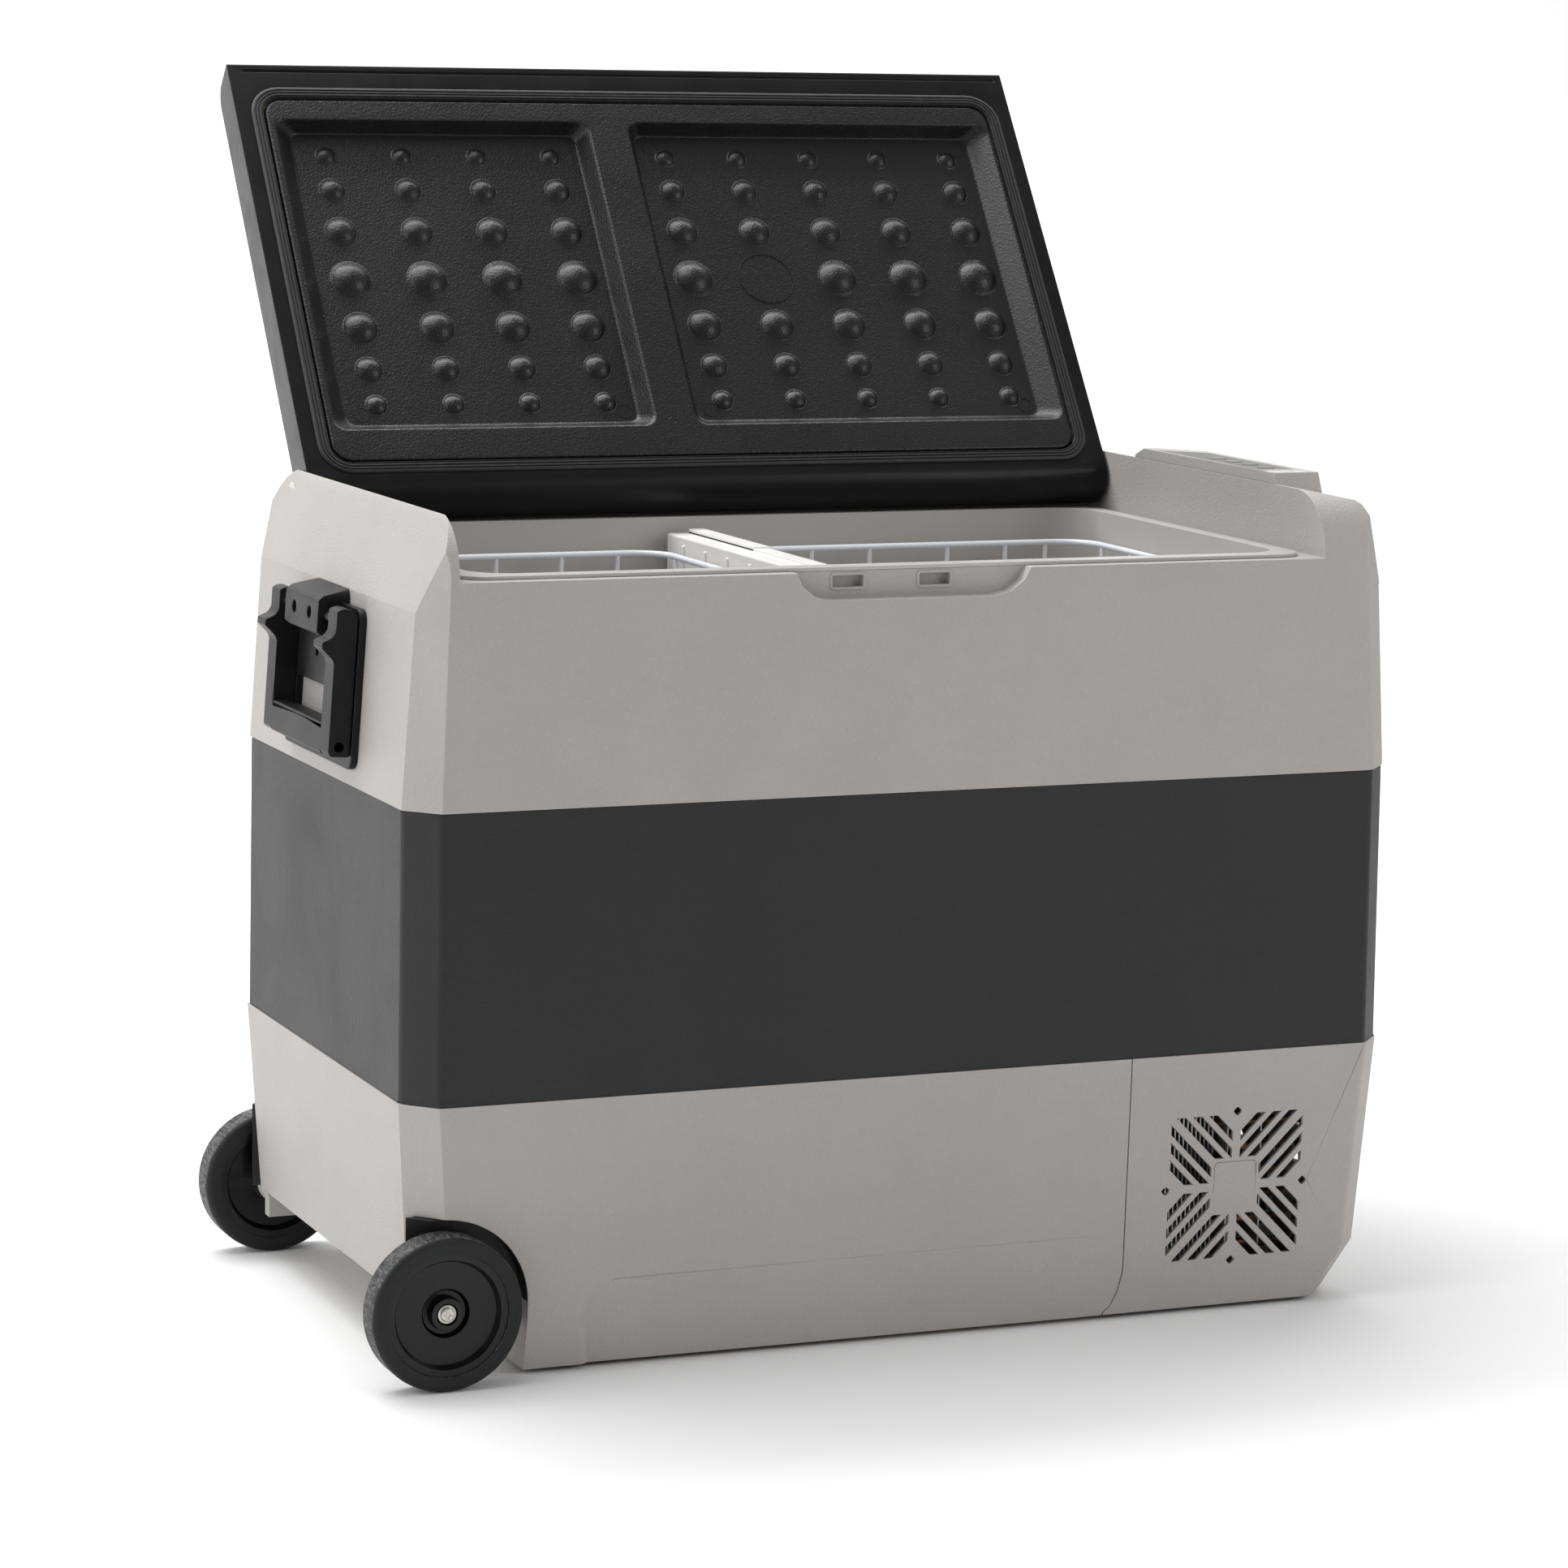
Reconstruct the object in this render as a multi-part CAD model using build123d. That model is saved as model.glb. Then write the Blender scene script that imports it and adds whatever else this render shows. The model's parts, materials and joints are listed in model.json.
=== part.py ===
from build123d import *
import os
from math import atan2, cos, degrees, radians, sin, tan

# A wheeled compressor cooler fridge, in millimetres.
# X runs to the right along the front, Y to the back and Z up. The origin is the centre of the
# footprint on the ground. The lid group is drawn closed and then swung open about its hinge.

# ---- driving dimensions -------------------------------------------------------------------
WALL = 3.0                  # moulded shell wall
GAP = 0.3                   # clearance between neighbouring pieces
BASE_Z = 3.0                # underside of the lower casing
BAND_BOTTOM = 171.0         # dark band, lower and upper edge
BAND_TOP = 347.5
END_BEND_Z = 464.5          # where the end faces start to slope inwards
DECK_Z = 484.0              # flat deck round the tub
LEFT_CHEEK_Z = 522.5
RIGHT_CHEEK_Z = 524.5
CHEEK_FRONT_R = 38.0
CHEEK_BACK_R = 45.0
RAIL_Y, RAIL_Z = 163.5, 500.0       # rear rail behind the lid barrel

# Plan sections of the casing: height, half length, half depth, left and right chamfer, chamfer depth.
UPPER_SECTIONS = [(BAND_TOP, 330.0, 178.1, 18.5, 19.3, 20.5),
                  (END_BEND_Z, 322.3, 179.6, 14.3, 19.8, 21.5),
                  (540.0, 317.4, 179.6, 12.0, 22.0, 21.5)]
BAND_SECTIONS = [(BAND_BOTTOM, 330.4, 178.3, 18.6, 18.6, 20.5),
                 (BAND_TOP, 329.4, 177.4, 18.6, 18.6, 20.5)]
LOWER_SECTIONS = [(BASE_Z, 303.8, 166.4, 20.0, 20.0, 21.0),
                  (36.0, 322.6, 174.2, 20.0, 20.0, 21.0),
                  (BAND_BOTTOM, 331.2, 179.2, 19.0, 19.0, 20.5)]

# Lid and its hinge, closed.
HINGE_Y, HINGE_Z = 142.4, 506.6
OPEN_ANGLE = 125.8
BARREL_R = 18.6
LID_BOTTOM = HINGE_Z - BARREL_R
LID_TOP = HINGE_Z + BARREL_R
LID_LEFT, LID_RIGHT = -300.5, 268.2
LID_FRONT = -178.0
LID_DRAFT = 3.5             # each side leans in by this much at the top
POCKET_DEPTH = 12.0
DOME_RADII = (6.6, 8.7, 10.7, 13.6, 11.6, 9.1, 7.0)
DOME_ROWS = (-112.0, -85.0, -52.0, -14.5, 23.0, 55.0, 82.0)
DOME_PITCH = 53.1
DOME_LEFT_X, DOME_LEFT_COUNT = -240.0, 4
DOME_RIGHT_X, DOME_RIGHT_COUNT = 3.0, 5
DISC_COLUMN, DISC_ROW, DISC_R = 1, 3, 19.5

GASKET_X, GASKET_Y, GASKET_R = (-290.0, 258.0), (-159.0, 140.0), 22.0
PANEL_X, PANEL_Y, PANEL_R = (-280.3, 248.3), (-149.3, 130.3), 13.0
LIP_R, FLOOR_R = 12.0, 8.0  # corner radii of a pocket at its lip and at its floor
LEFT_POCKET = ((-276, -53), (-134, 107), (-263, -60), (-130, 98))      # x and y at the lip, then at the floor
RIGHT_POCKET = ((-25, 246), (-134, 107), (-18, 234), (-130, 98))
HINGE_PIN_R, HINGE_BUSH_R = 4.0, 7.0
HINGE_PINS_X = ((-306.0, -272.0), (238.0, 276.5))
HINGE_BUSHES_X = ((-306.5, -301.6), (269.6, 277.0))
BUMPERS_X = (-190.0, 150.0)
BUMPER_Y = (167.0, 176.0)

# Latch flap on the lid's front edge.
LATCH_Y, LATCH_Z = -181.5, 500.0
LATCH_FOLD = 178.0
LATCH_PIN_R, LATCH_BARREL_R = 1.5, 2.9
KNUCKLES_X = ((-80.0, -70.0), (-16.0, -6.0), (48.0, 58.0))
BARRELS_X = ((-69.7, -16.3), (-5.7, 47.7))
FLAP_Y = (-184.3, -180.7)
CATCH_X = (-52.0, 5.5)      # centres of the two catch slots
CATCH_W = 20.0
CATCH_Z = (474.0, 481.0)
RECESS_Y = -170.6           # back wall of the recess in front of the catch slots

# Tub.
TUB_LEFT, TUB_RIGHT, TUB_FRONT, TUB_BACK = -285.0, 252.0, -160.0, 130.0
TUB_TAPER = 6.0
TUB_FLOOR = 62.0
TUB_R = 26.0
TUB_STEP_X, TUB_STEP_Z = 128.0, 180.0
LINER_T = 2.2
RIM_Z = 486.5
FLANGE_X, FLANGE_Y, FLANGE_R = (-298.0, 263.0), (-171.0, 138.5), 20.0

# Baskets and divider.
WIRE_R = 2.1
UPRIGHT_R = 1.6
BASKET_Y = (-146.0, 110.0)
LEFT_BASKET_X, RIGHT_BASKET_X = (-275.0, -65.0), (-21.0, 244.0)
BASKET_R = 25.0
BASKET_TOP = 465.5
BASKET_STEP_X = 114.0
BASKET_FLOOR, BASKET_STEP = TUB_FLOOR + 2.5, TUB_STEP_Z + 2.5
BASE_RING = 5.0             # lowest ring above the floor wires
FLOOR_CUT = 2.2             # half height of a floor panel
LEFT_UPRIGHTS = (-224.0, -179.0, -134.0, -95.0)
RIGHT_UPRIGHTS = (12.0, 43.0, 85.0, 142.0, 185.0, 215.0)
BASKET_SIDE_UPRIGHTS = (-91.0, -48.0, -5.0, 38.0, 81.0)
DIVIDER_X, DIVIDER_Y, DIVIDER_Z = (-56.0, -30.0), (-151.0, 121.0), (66.0, 477.0)
DIVIDER_RIBS_Y = (-100.0, -62.0, -24.0, 14.0, 52.0, 90.0)

# Machine compartment.
SEAM_X = 146.0
GRILLE_X, GRILLE_Z = 222.5, 83.0
GRILLE_HALF = 47.0
FAN_X, FAN_Z, FAN_Y = 232.0, 84.0, -112.0
FAN_HALF = 42.0             # half the fan frame's side
COMPRESSOR_X, COMPRESSOR_Y = 205.0, 62.0
CONDENSER_Y = -142.0
CONDENSER_ROWS = range(36, 133, 16)
DRYER_X, DRYER_Y = 146.0, -100.0
FOOT_SPOTS = [(-235, -130), (-235, 130), (270, -130), (270, 130)]

# Wheels.
WHEEL_X, WHEEL_Z = -309.0, 47.5
TYRE_R, HUB_R = 47.3, 38.0
WHEEL_OUT, WHEEL_IN = 190.0, 167.0
AXLE_R = 5.0
WELL_Y = 161.0
ARCH_R = 55.0

# Handles, in a local frame: distance out from the end face, and height up along it.
HANDLE_Z = 358.0
HANDLE_LEAN = degrees(atan2(330.0 - 322.3, END_BEND_Z - BAND_TOP))
HANDLE_FACE_X = 330.0 - (HANDLE_Z - BAND_TOP) * tan(radians(HANDLE_LEAN)) + 0.05
PIVOT_OUT, PIVOT_UP = 13.2, 90.0
PIN_R = 2.5
ARM_W, EAR_R = 17.5, 8.2
HANDLE_SCREWS_Y = (-15.5, 15.5)
RUN = 0.05                  # running clearance of a pin in its bore

# Control console and the sockets on the right end.
CONSOLE_TOP = 531.5
PANEL_OUTLINE = [(271.5, 62), (293, 38), (297, 32), (297, -88), (271.5, -88)]
PANEL_SINK = 1.5            # depth of the hollow that the panel lies in
BUTTON_SPOTS = [(284.0, y) for y in (-72.0, -50.0, -28.0, -6.0)]
BUTTON_R = 5.5
SOCKET_X, SOCKET_Z = 330.4, 215.0
SOCKET_BACK, SOCKET_FRONT = 316.0, 332.8
DC_Y, DC_R = 104.0, 9.0
MAINS_Y, MAINS_HALF_W, MAINS_HALF_H = 132.0, 11.0, 8.0
SIDES = (-1, 1)


# ---- helpers --------------------------------------------------------------------------------
def block(x, y, z):
    size = (x[1] - x[0], y[1] - y[0], z[1] - z[0])
    return Pos((x[0] + x[1]) / 2, (y[0] + y[1]) / 2, (z[0] + z[1]) / 2) * Box(*size)


def grown(span, g):
    return (span[0] - g, span[1] + g)


def prism_x(points, x0, x1):
    """Outline in (y, z), between two x planes."""
    return extrude(Pos(x0, 0, 0) * (Plane.YZ * Polygon(*points, align=None)), amount=x1 - x0, dir=(1, 0, 0))


def prism_y(points, y0, y1):
    """Outline in (x, z), between two y planes."""
    return extrude(Pos(0, y0, 0) * (Plane.XZ * Polygon(*points, align=None)), amount=y1 - y0, dir=(0, 1, 0))


def prism_z(points, z0, z1):
    """Outline in (x, y), between two z planes."""
    return extrude(Pos(0, 0, z0) * Polygon(*points, align=None), amount=z1 - z0, dir=(0, 0, 1))


def rod_x(r, x0, x1, y, z):
    return Pos((x0 + x1) / 2, y, z) * Rot(0, 90, 0) * Cylinder(r, x1 - x0)


def rod_y(r, y0, y1, x, z):
    return Pos(x, (y0 + y1) / 2, z) * Rot(90, 0, 0) * Cylinder(r, y1 - y0)


def rod_z(r, z0, z1, x, y):
    return Pos(x, y, (z0 + z1) / 2) * Cylinder(r, z1 - z0)


def rounded_plate(x, y, z, r):
    sketch = Pos((x[0] + x[1]) / 2, (y[0] + y[1]) / 2) * RectangleRounded(x[1] - x[0], y[1] - y[0], r)
    return Pos(0, 0, z[0]) * extrude(sketch, amount=z[1] - z[0])


def rounded_loft(x, y, z, taper, r):
    """Rounded rectangle x by y at the top, smaller by taper on every side at the bottom."""
    centre = Pos((x[0] + x[1]) / 2, (y[0] + y[1]) / 2)
    top = Pos(0, 0, z[1]) * centre * RectangleRounded(x[1] - x[0], y[1] - y[0], r)
    low = Pos(0, 0, z[0]) * centre * RectangleRounded(x[1] - x[0] - 2 * taper, y[1] - y[0] - 2 * taper, r)
    return loft([low, top])


def octagon(section, inset=0.0):
    """Plan section of the casing with its four corners cut off."""
    z, x, y, left, right, cy = section
    x, y = x - inset, y - inset
    points = [(-x, -y + cy), (-x + left, -y), (x - right, -y), (x, -y + cy),
              (x, y - cy), (x - right, y), (-x + left, y), (-x, y - cy)]
    return Pos(0, 0, z) * Polygon(*points, align=None)


def casing(sections, inset=0.0):
    return loft([octagon(s, inset) for s in sections], ruled=True)


def extended(sections, below, above):
    """The same sections, carried on past both ends so that a cut runs clean through."""
    first, last = sections[0], sections[-1]
    return [(first[0] - below, *first[1:])] + list(sections) + [(last[0] + above, *last[1:])]


def write(name, *solids):
    shape = solids[0] if len(solids) == 1 else Compound(children=list(solids))
    export_step(shape, f"parts/{name}.step")


def swing(shape, angle, y, z):
    """Turns a shape about an axis along X through (y, z)."""
    return Pos(0, y, z) * Rot(angle, 0, 0) * Pos(0, -y, -z) * shape


def opened(shape):
    return swing(shape, -OPEN_ANGLE, HINGE_Y, HINGE_Z)


# ---- upper casing ---------------------------------------------------------------------------
def end_profile(g):
    """Outline in (x, z) that slopes the two end faces and their tops."""
    top_left, top_right = LEFT_CHEEK_Z - g, RIGHT_CHEEK_Z - g
    points = [(-345 + g, 330), (-345 + g, 398.9), (-303.8 + g, 518 - g), (-301 + g, top_left),
              (0, top_left), (0, top_right), (270.5, top_right), (302.6 - g, 518 - g),
              (345 - g, 402.9), (345 - g, 330)]
    return prism_y(points, -200, 200)


def side_profile(g, top, x0, x1):
    """Outline in (y, z) that rounds the front and back of the two cheeks."""
    half = 179.6 - g
    sketch = Polygon((-half, 330), (-half, top - g), (half, top - g), (half, 330), align=None)
    corners = sketch.vertices().sort_by(Axis.Y)[-2:].sort_by(Axis.X)
    sketch = fillet(corners[0], CHEEK_FRONT_R - g)
    back = sketch.vertices().sort_by(Axis.X)[-2:].sort_by(Axis.Y)[-1]
    sketch = fillet(back, CHEEK_BACK_R - g)
    return extrude(Pos(x0, 0, 0) * (Plane.YZ * sketch), amount=x1 - x0, dir=(1, 0, 0))


def upper_envelope(g=0.0):
    sections = UPPER_SECTIONS if g == 0 else extended(UPPER_SECTIONS, 5, 5)
    cheeks = side_profile(g, LEFT_CHEEK_Z, -340, 0) + side_profile(g, RIGHT_CHEEK_Z, 0, 340)
    return casing(sections, g) & end_profile(g) & cheeks


def lid_space(g=0.0):
    """Room between the cheeks for the lid, and the lower notch over the rear rail."""
    def outline(low):
        return [(-301.8 - g, low - g), (-301.6 - g, 540), (269.2 + g, 540), (270.2 + g, low - g)]
    return prism_y(outline(DECK_Z), -250, RAIL_Y + g) + prism_y(outline(RAIL_Z), RAIL_Y + g - 1, 250)


def recess_outline(g=0.0):
    top = DECK_Z + (1 if g == 0 else -WALL)
    return [(-89 - g, top), (-85 - g, 476), (-77 - g, 469.5 - g / 2), (-68, 467 - g), (42, 467 - g),
            (53 + g, 469.5 - g / 2), (62 + g, 476), (67 + g, top)]


def catch_slots(depth_y):
    return [block((x - CATCH_W / 2, x + CATCH_W / 2), (-175, depth_y), CATCH_Z) for x in CATCH_X]


def upper_shell():
    hollow = upper_envelope(WALL) - lid_space(WALL)
    hollow -= block((-340, -290), (-200, 200), (DECK_Z - WALL, 530))
    hollow -= prism_y(recess_outline(WALL), -185, -163.2)
    hollow -= rod_x(11, 268, 281, HINGE_Y, HINGE_Z)
    shell = upper_envelope() - lid_space() - hollow
    shell -= prism_y(recess_outline(), -190, RECESS_Y)
    for slot in catch_slots(-165.0):
        shell -= slot
    tub_y = (TUB_FRONT - 2.6, TUB_BACK + 5)
    shell -= rounded_plate((TUB_LEFT - 5, TUB_RIGHT + 5), tub_y, (400, 490), TUB_R + 4)
    shell -= rod_x(HINGE_BUSH_R, HINGE_BUSHES_X[0][0], -298, HINGE_Y, HINGE_Z)
    shell -= rod_x(HINGE_BUSH_R, 265, HINGE_BUSHES_X[1][1], HINGE_Y, HINGE_Z)
    shell -= block((268, 269.6), (-155, -131), (503, 510))
    return shell


# ---- middle and lower casing ----------------------------------------------------------------
def mid_band():
    return casing(BAND_SECTIONS) - casing(extended(BAND_SECTIONS, 5, 5), WALL)


def wheel_wells(g=0.0):
    """Wheel arches at both left corners and the open space under the left end."""
    cuts = block((-345, WHEEL_X + ARCH_R + g), (-200, 200), (-20, WHEEL_Z + g))
    arch = block((-345, WHEEL_X), (-200, -WELL_Y + g), (-20, WHEEL_Z + ARCH_R + g))
    arch += rod_y(ARCH_R + g, -200, -WELL_Y + g, WHEEL_X, WHEEL_Z)
    return cuts + arch + mirror(arch, about=Plane.XZ)


def cover_region(g=0.0):
    """Everything right of the seam, which curves to the left near the bottom."""
    points = [(SEAM_X - g, 180), (SEAM_X - g, 31), (SEAM_X - 1.6 - g, 19), (SEAM_X - 5 - g, 10),
              (SEAM_X - 10 - g, 4.5), (SEAM_X - 10 - g, -5), (340, -5), (340, 180)]
    return prism_y(points, -200, 200)


def front_relief(g=0.0):
    """Shallow slope along the bottom of the front face, soft at its left, that fades out to the right."""
    def outline(x, depth):
        shift = depth + g
        points = [(-174.9 + g, 58), (-190, 58), (-190, -12), (-162.6 + shift, -12), (-174.2 + shift, 36)]
        return Pos(x, 0, 0) * (Plane.YZ * Polygon(*points, align=None))
    slope = loft([outline(-240, 3.4), outline(120, -0.35)], ruled=True)
    patch = Plane.XZ * Polygon((-233, -60), (-221, 58.5), (170, 58.5), (170, -60), align=None)
    patch = Pos(0, -176 + g, 0) * patch
    corner = patch.vertices().sort_by(Axis.Z)[-2:].sort_by(Axis.X)[0]
    return slope & extrude(fillet(corner, 28), amount=20, dir=(0, 1, 0), taper=50)


def axle_notches(r):
    return rod_y(r, -170, -140, WHEEL_X, WHEEL_Z) + rod_y(r, 140, 170, WHEEL_X, WHEEL_Z)


def lower_casing():
    inner = casing(extended(LOWER_SECTIONS, 8, 5), WALL) - wheel_wells(WALL) - front_relief(WALL)
    return casing(LOWER_SECTIONS) - wheel_wells() - front_relief() - inner - axle_notches(AXLE_R + GAP)


def lower_shell():
    return lower_casing() - cover_region(GAP * 2)


def grille_cuts():
    """Four quadrants of diagonal slots round a square, with a diamond hole on each side."""
    rib, edge = 2.8, GRILLE_HALF
    quadrant = Polygon((rib, rib), (edge, rib), (edge, edge), (rib, edge), align=None)
    quadrant -= Rectangle(2 * 17.0, 2 * 18.5)
    slots = Sketch()
    for offset in (5.0, 13.1, 21.2):
        for side in (-1, 1):
            slots += Rot(0, 0, 45) * Pos(30, side * offset) * Rectangle(110, 4.4)
    quadrant &= slots
    pattern = quadrant + mirror(quadrant, about=Plane.YZ)
    pattern += mirror(pattern, about=Plane.XZ)
    for x, y in ((49, 0), (-49, 0), (0, 49), (0, -49)):
        pattern += Pos(x, y) * Rot(0, 0, 45) * RectangleRounded(4.6, 4.6, 1.2)
    return pattern


def compressor_cover():
    cover = lower_casing() & cover_region()
    face = Plane(origin=(GRILLE_X, -160, GRILLE_Z), x_dir=(1, 0, 0), z_dir=(0, -1, 0))
    cover -= extrude(face * grille_cuts(), amount=30, dir=(0, -1, 0))
    badge = RectangleRounded(30, 32.4, 3) - RectangleRounded(29.2, 31.6, 2.6)
    groove_face = Plane(origin=(GRILLE_X, -175.6, GRILLE_Z), x_dir=(1, 0, 0), z_dir=(0, -1, 0))
    cover -= extrude(groove_face * badge, amount=8, dir=(0, -1, 0))
    for z in range(60, 141, 12):
        for y in (-72, 0, 72):
            cover -= block((310, 340), (y - 27, y + 27), (z - 2.5, z + 2.5))
    for z in range(48, 145, 12):
        cover -= block((180, 290), (165, 185), (z - 2.5, z + 2.5))
    return cover


def base_tray():
    outline = [(-250.5, -157), (283, -157), (294, -145), (294, 145), (283, 157), (-250.5, 157)]
    tray = prism_z(outline, BASE_Z, BASE_Z + 3)
    for x, y in FOOT_SPOTS:
        tray -= rod_z(2.5, 0, 10, x, y)
    for x in (170, 190, 210, 230, 250, 270):
        tray -= block((x - 3, x + 3), (-60, 60), (0, 10))
    return tray


def rubber_feet():
    return [rod_z(12, 0, BASE_Z, x, y) + rod_z(2.5, BASE_Z, BASE_Z + 4, x, y) for x, y in FOOT_SPOTS]


# ---- tub, insulation and evaporator ---------------------------------------------------------
def tub(grow=0.0):
    """The inside of the tub, or the same shape grown outwards."""
    x, y = (TUB_LEFT - grow, TUB_RIGHT + grow), (TUB_FRONT - grow, TUB_BACK + grow)
    solid = rounded_loft(x, y, (TUB_FLOOR - grow, RIM_Z + 5), TUB_TAPER, TUB_R + grow)
    return solid - block((TUB_STEP_X + grow, 300), (-200, 200), (0, TUB_STEP_Z - grow))


def inner_liner():
    flange = rounded_plate(FLANGE_X, FLANGE_Y, (DECK_Z, RIM_Z), FLANGE_R)
    ridge = rounded_plate((TUB_LEFT - 4, TUB_RIGHT + 4), (TUB_FRONT - 4, TUB_BACK + 4),
                          (DECK_Z, RIM_Z + 0.2), TUB_R + 4)
    skin = tub(LINER_T) & block((-340, 340), (-200, 200), (0, DECK_Z + 0.5))
    return skin + flange + ridge - tub()


def machine_bay(g=0.0):
    return block((TUB_STEP_X + 3 - g, 340), (-200, 200), (-5, TUB_STEP_Z - 4 + g))


def foam_insulation():
    def block_of(sections, low, high):
        return casing(sections, WALL + GAP) & block((-340, 340), (-200, 200), (low, high))
    upper = upper_envelope(WALL + GAP) & block((-340, 340), (-200, 200), (BAND_TOP, DECK_Z - WALL - GAP))
    upper -= prism_y(recess_outline(WALL + GAP), -185, -162)
    middle = block_of(extended(BAND_SECTIONS, 5, 5), BAND_BOTTOM, BAND_TOP)
    lower = block_of(extended(LOWER_SECTIONS, 5, 5), BASE_Z + 3, BAND_BOTTOM) - wheel_wells(WALL + GAP)
    lower = lower - front_relief(WALL + GAP) - axle_notches(AXLE_R + 3)
    foam = upper + middle + lower
    return foam - machine_bay() - tub(LINER_T + 2.0) - block((TUB_LEFT, -200), (-200, 200), (0, 30))


def evaporator_plate():
    ring = tub(LINER_T + 1.7) - tub(LINER_T + 0.4)
    return ring & block((-300, 300), (-200, 200), (215, 410))


# ---- machine compartment --------------------------------------------------------------------
def compressor():
    can = rod_z(52, 24, 118, COMPRESSOR_X, COMPRESSOR_Y)
    can = fillet(can.edges().filter_by(GeomType.CIRCLE), 16)
    body = can + rod_z(54, 74, 79, COMPRESSOR_X, COMPRESSOR_Y)
    body += block((COMPRESSOR_X - 62, COMPRESSOR_X + 62), (COMPRESSOR_Y - 34, COMPRESSOR_Y + 34), (20, 24))
    body += block((COMPRESSOR_X - 22, COMPRESSOR_X + 22), (COMPRESSOR_Y + 50, COMPRESSOR_Y + 66), (52, 92))
    for x, y in mount_spots():
        body -= rod_z(5, 10, 30, x, y)
    return body


def mount_spots():
    return [(COMPRESSOR_X + 52 * sx, COMPRESSOR_Y + 26 * sy) for sx in SIDES for sy in SIDES]


def compressor_mounts():
    mounts = []
    for x, y in mount_spots():
        grommet = rod_z(9, 6, 20, x, y) + rod_z(5, 20, 24, x, y) + rod_z(8, 24, 28, x, y)
        mounts.append(grommet - rod_z(2.5, 0, 40, x, y))
    return mounts


def mount_bolts():
    return [rod_z(2.5, 6, 28, x, y) + rod_z(5, 28, 31.5, x, y) for x, y in mount_spots()]


def condenser_tubes():
    """Tube passes that run through the fins, and the header that joins their ends."""
    bend_y = (CONDENSER_Y - 3, CONDENSER_Y + 3)
    passes = [rod_x(3, 156, 284, CONDENSER_Y, z) + block((282, 288), bend_y, (z - 3, z + 3))
              for z in CONDENSER_ROWS]
    return passes + [block((288.2, 292), bend_y, (33, 135))]


def condenser_fins():
    fin_y = (CONDENSER_Y - 12, CONDENSER_Y + 12)
    spots = [*range(160, 218, 3), 228, 252, 276]
    fins = Compound(children=[block((x, x + 0.8), fin_y, (28, 140)) for x in spots])
    for z in CONDENSER_ROWS:
        fins -= rod_x(3.0, 150, 300, CONDENSER_Y, z)
    return fins.solids()


def fan_frame():
    frame = block((FAN_X - FAN_HALF, FAN_X + FAN_HALF), (FAN_Y - 12, FAN_Y + 12),
                  (FAN_Z - FAN_HALF, FAN_Z + FAN_HALF))
    frame -= rod_y(38.5, FAN_Y - 20, FAN_Y + 20, FAN_X, FAN_Z)
    for angle in (45, 135, 225, 315):
        x, z = FAN_X + 27 * cos(radians(angle)), FAN_Z + 27 * sin(radians(angle))
        frame += Pos(x, FAN_Y + 10.8, z) * Rot(0, -angle, 0) * Box(26, 2.4, 4)
    frame += rod_y(15, FAN_Y + 9.6, FAN_Y + 12, FAN_X, FAN_Z)
    frame += rod_y(2, FAN_Y - 4, FAN_Y + 10, FAN_X, FAN_Z)
    for sx in SIDES:
        for sz in SIDES:
            frame -= rod_y(2.2, FAN_Y - 20, FAN_Y + 20, FAN_X + sx * 36, FAN_Z + sz * 36)
    return frame


def fan_rotor():
    rotor = rod_y(14, FAN_Y - 10, FAN_Y + 8.6, FAN_X, FAN_Z)
    blade = Pos(24.5, 0, 0) * Rot(34, 0, 0) * Box(24, 1.8, 17)
    for k in range(7):
        rotor += Pos(FAN_X, FAN_Y - 1, FAN_Z) * Rot(0, k * 360 / 7, 0) * blade
    return rotor - rod_y(2 + RUN, FAN_Y - 4.5, FAN_Y + 20, FAN_X, FAN_Z)


def filter_dryer():
    return rod_z(9, 60, 120, DRYER_X, DRYER_Y) + rod_z(3, 52, 128, DRYER_X, DRYER_Y)


def tube_run(points, radius, bend):
    path = FilletPolyline(*points, radius=bend)
    return sweep(Plane(origin=path @ 0, z_dir=path % 0) * Circle(radius), path=path)


def refrigerant_lines():
    x, y = COMPRESSOR_X - 20, COMPRESSOR_Y
    suction = tube_run([(x, y, 119), (x, y, 160), (150, y, 160), (150, 140, 160)], 4, 12)
    x, y = COMPRESSOR_X + 25, COMPRESSOR_Y - 10
    discharge = tube_run([(x, y, 119), (x, y, 150), (296, y, 150), (296, CONDENSER_Y, 150),
                          (296, CONDENSER_Y, 120)], 3, 10)
    x, y = DRYER_X, DRYER_Y
    capillary = tube_run([(x, y, 129), (x, y, 165), (x, 20, 165)], 1.5, 8)
    return [suction, discharge, capillary]


def compressor_controller():
    return block((186, 296), (138, 156), (20, 36)) + block((196, 286), (140, 154), (36, 40))


# ---- wheels ---------------------------------------------------------------------------------
def tyre():
    ring = Cylinder(TYRE_R, WHEEL_OUT - WHEEL_IN) - Cylinder(HUB_R, 60)
    outer = ring.edges().filter_by(GeomType.CIRCLE).sort_by(SortBy.RADIUS)[-2:]
    return fillet(outer, 4.0)


def hub():
    half = (WHEEL_OUT - WHEEL_IN) / 2
    bore = AXLE_R + RUN
    outline = [(bore, -half), (14, -half), (14, -half + 6), (31, -half + 6), (33, -half + 0.6),
               (HUB_R, -half + 0.6), (HUB_R, half - 1.2), (33.5, half - 1.2), (31.5, half - 6.2),
               (15, half - 6.2), (13.5, half - 10), (10.6, half - 10), (9.8, half - 2.6), (6.8, half - 2.6),
               (6.2, half - 5), (bore, half - 5)]
    return revolve(Plane.XZ * Polygon(*outline, align=None), axis=Axis.Z)


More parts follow.
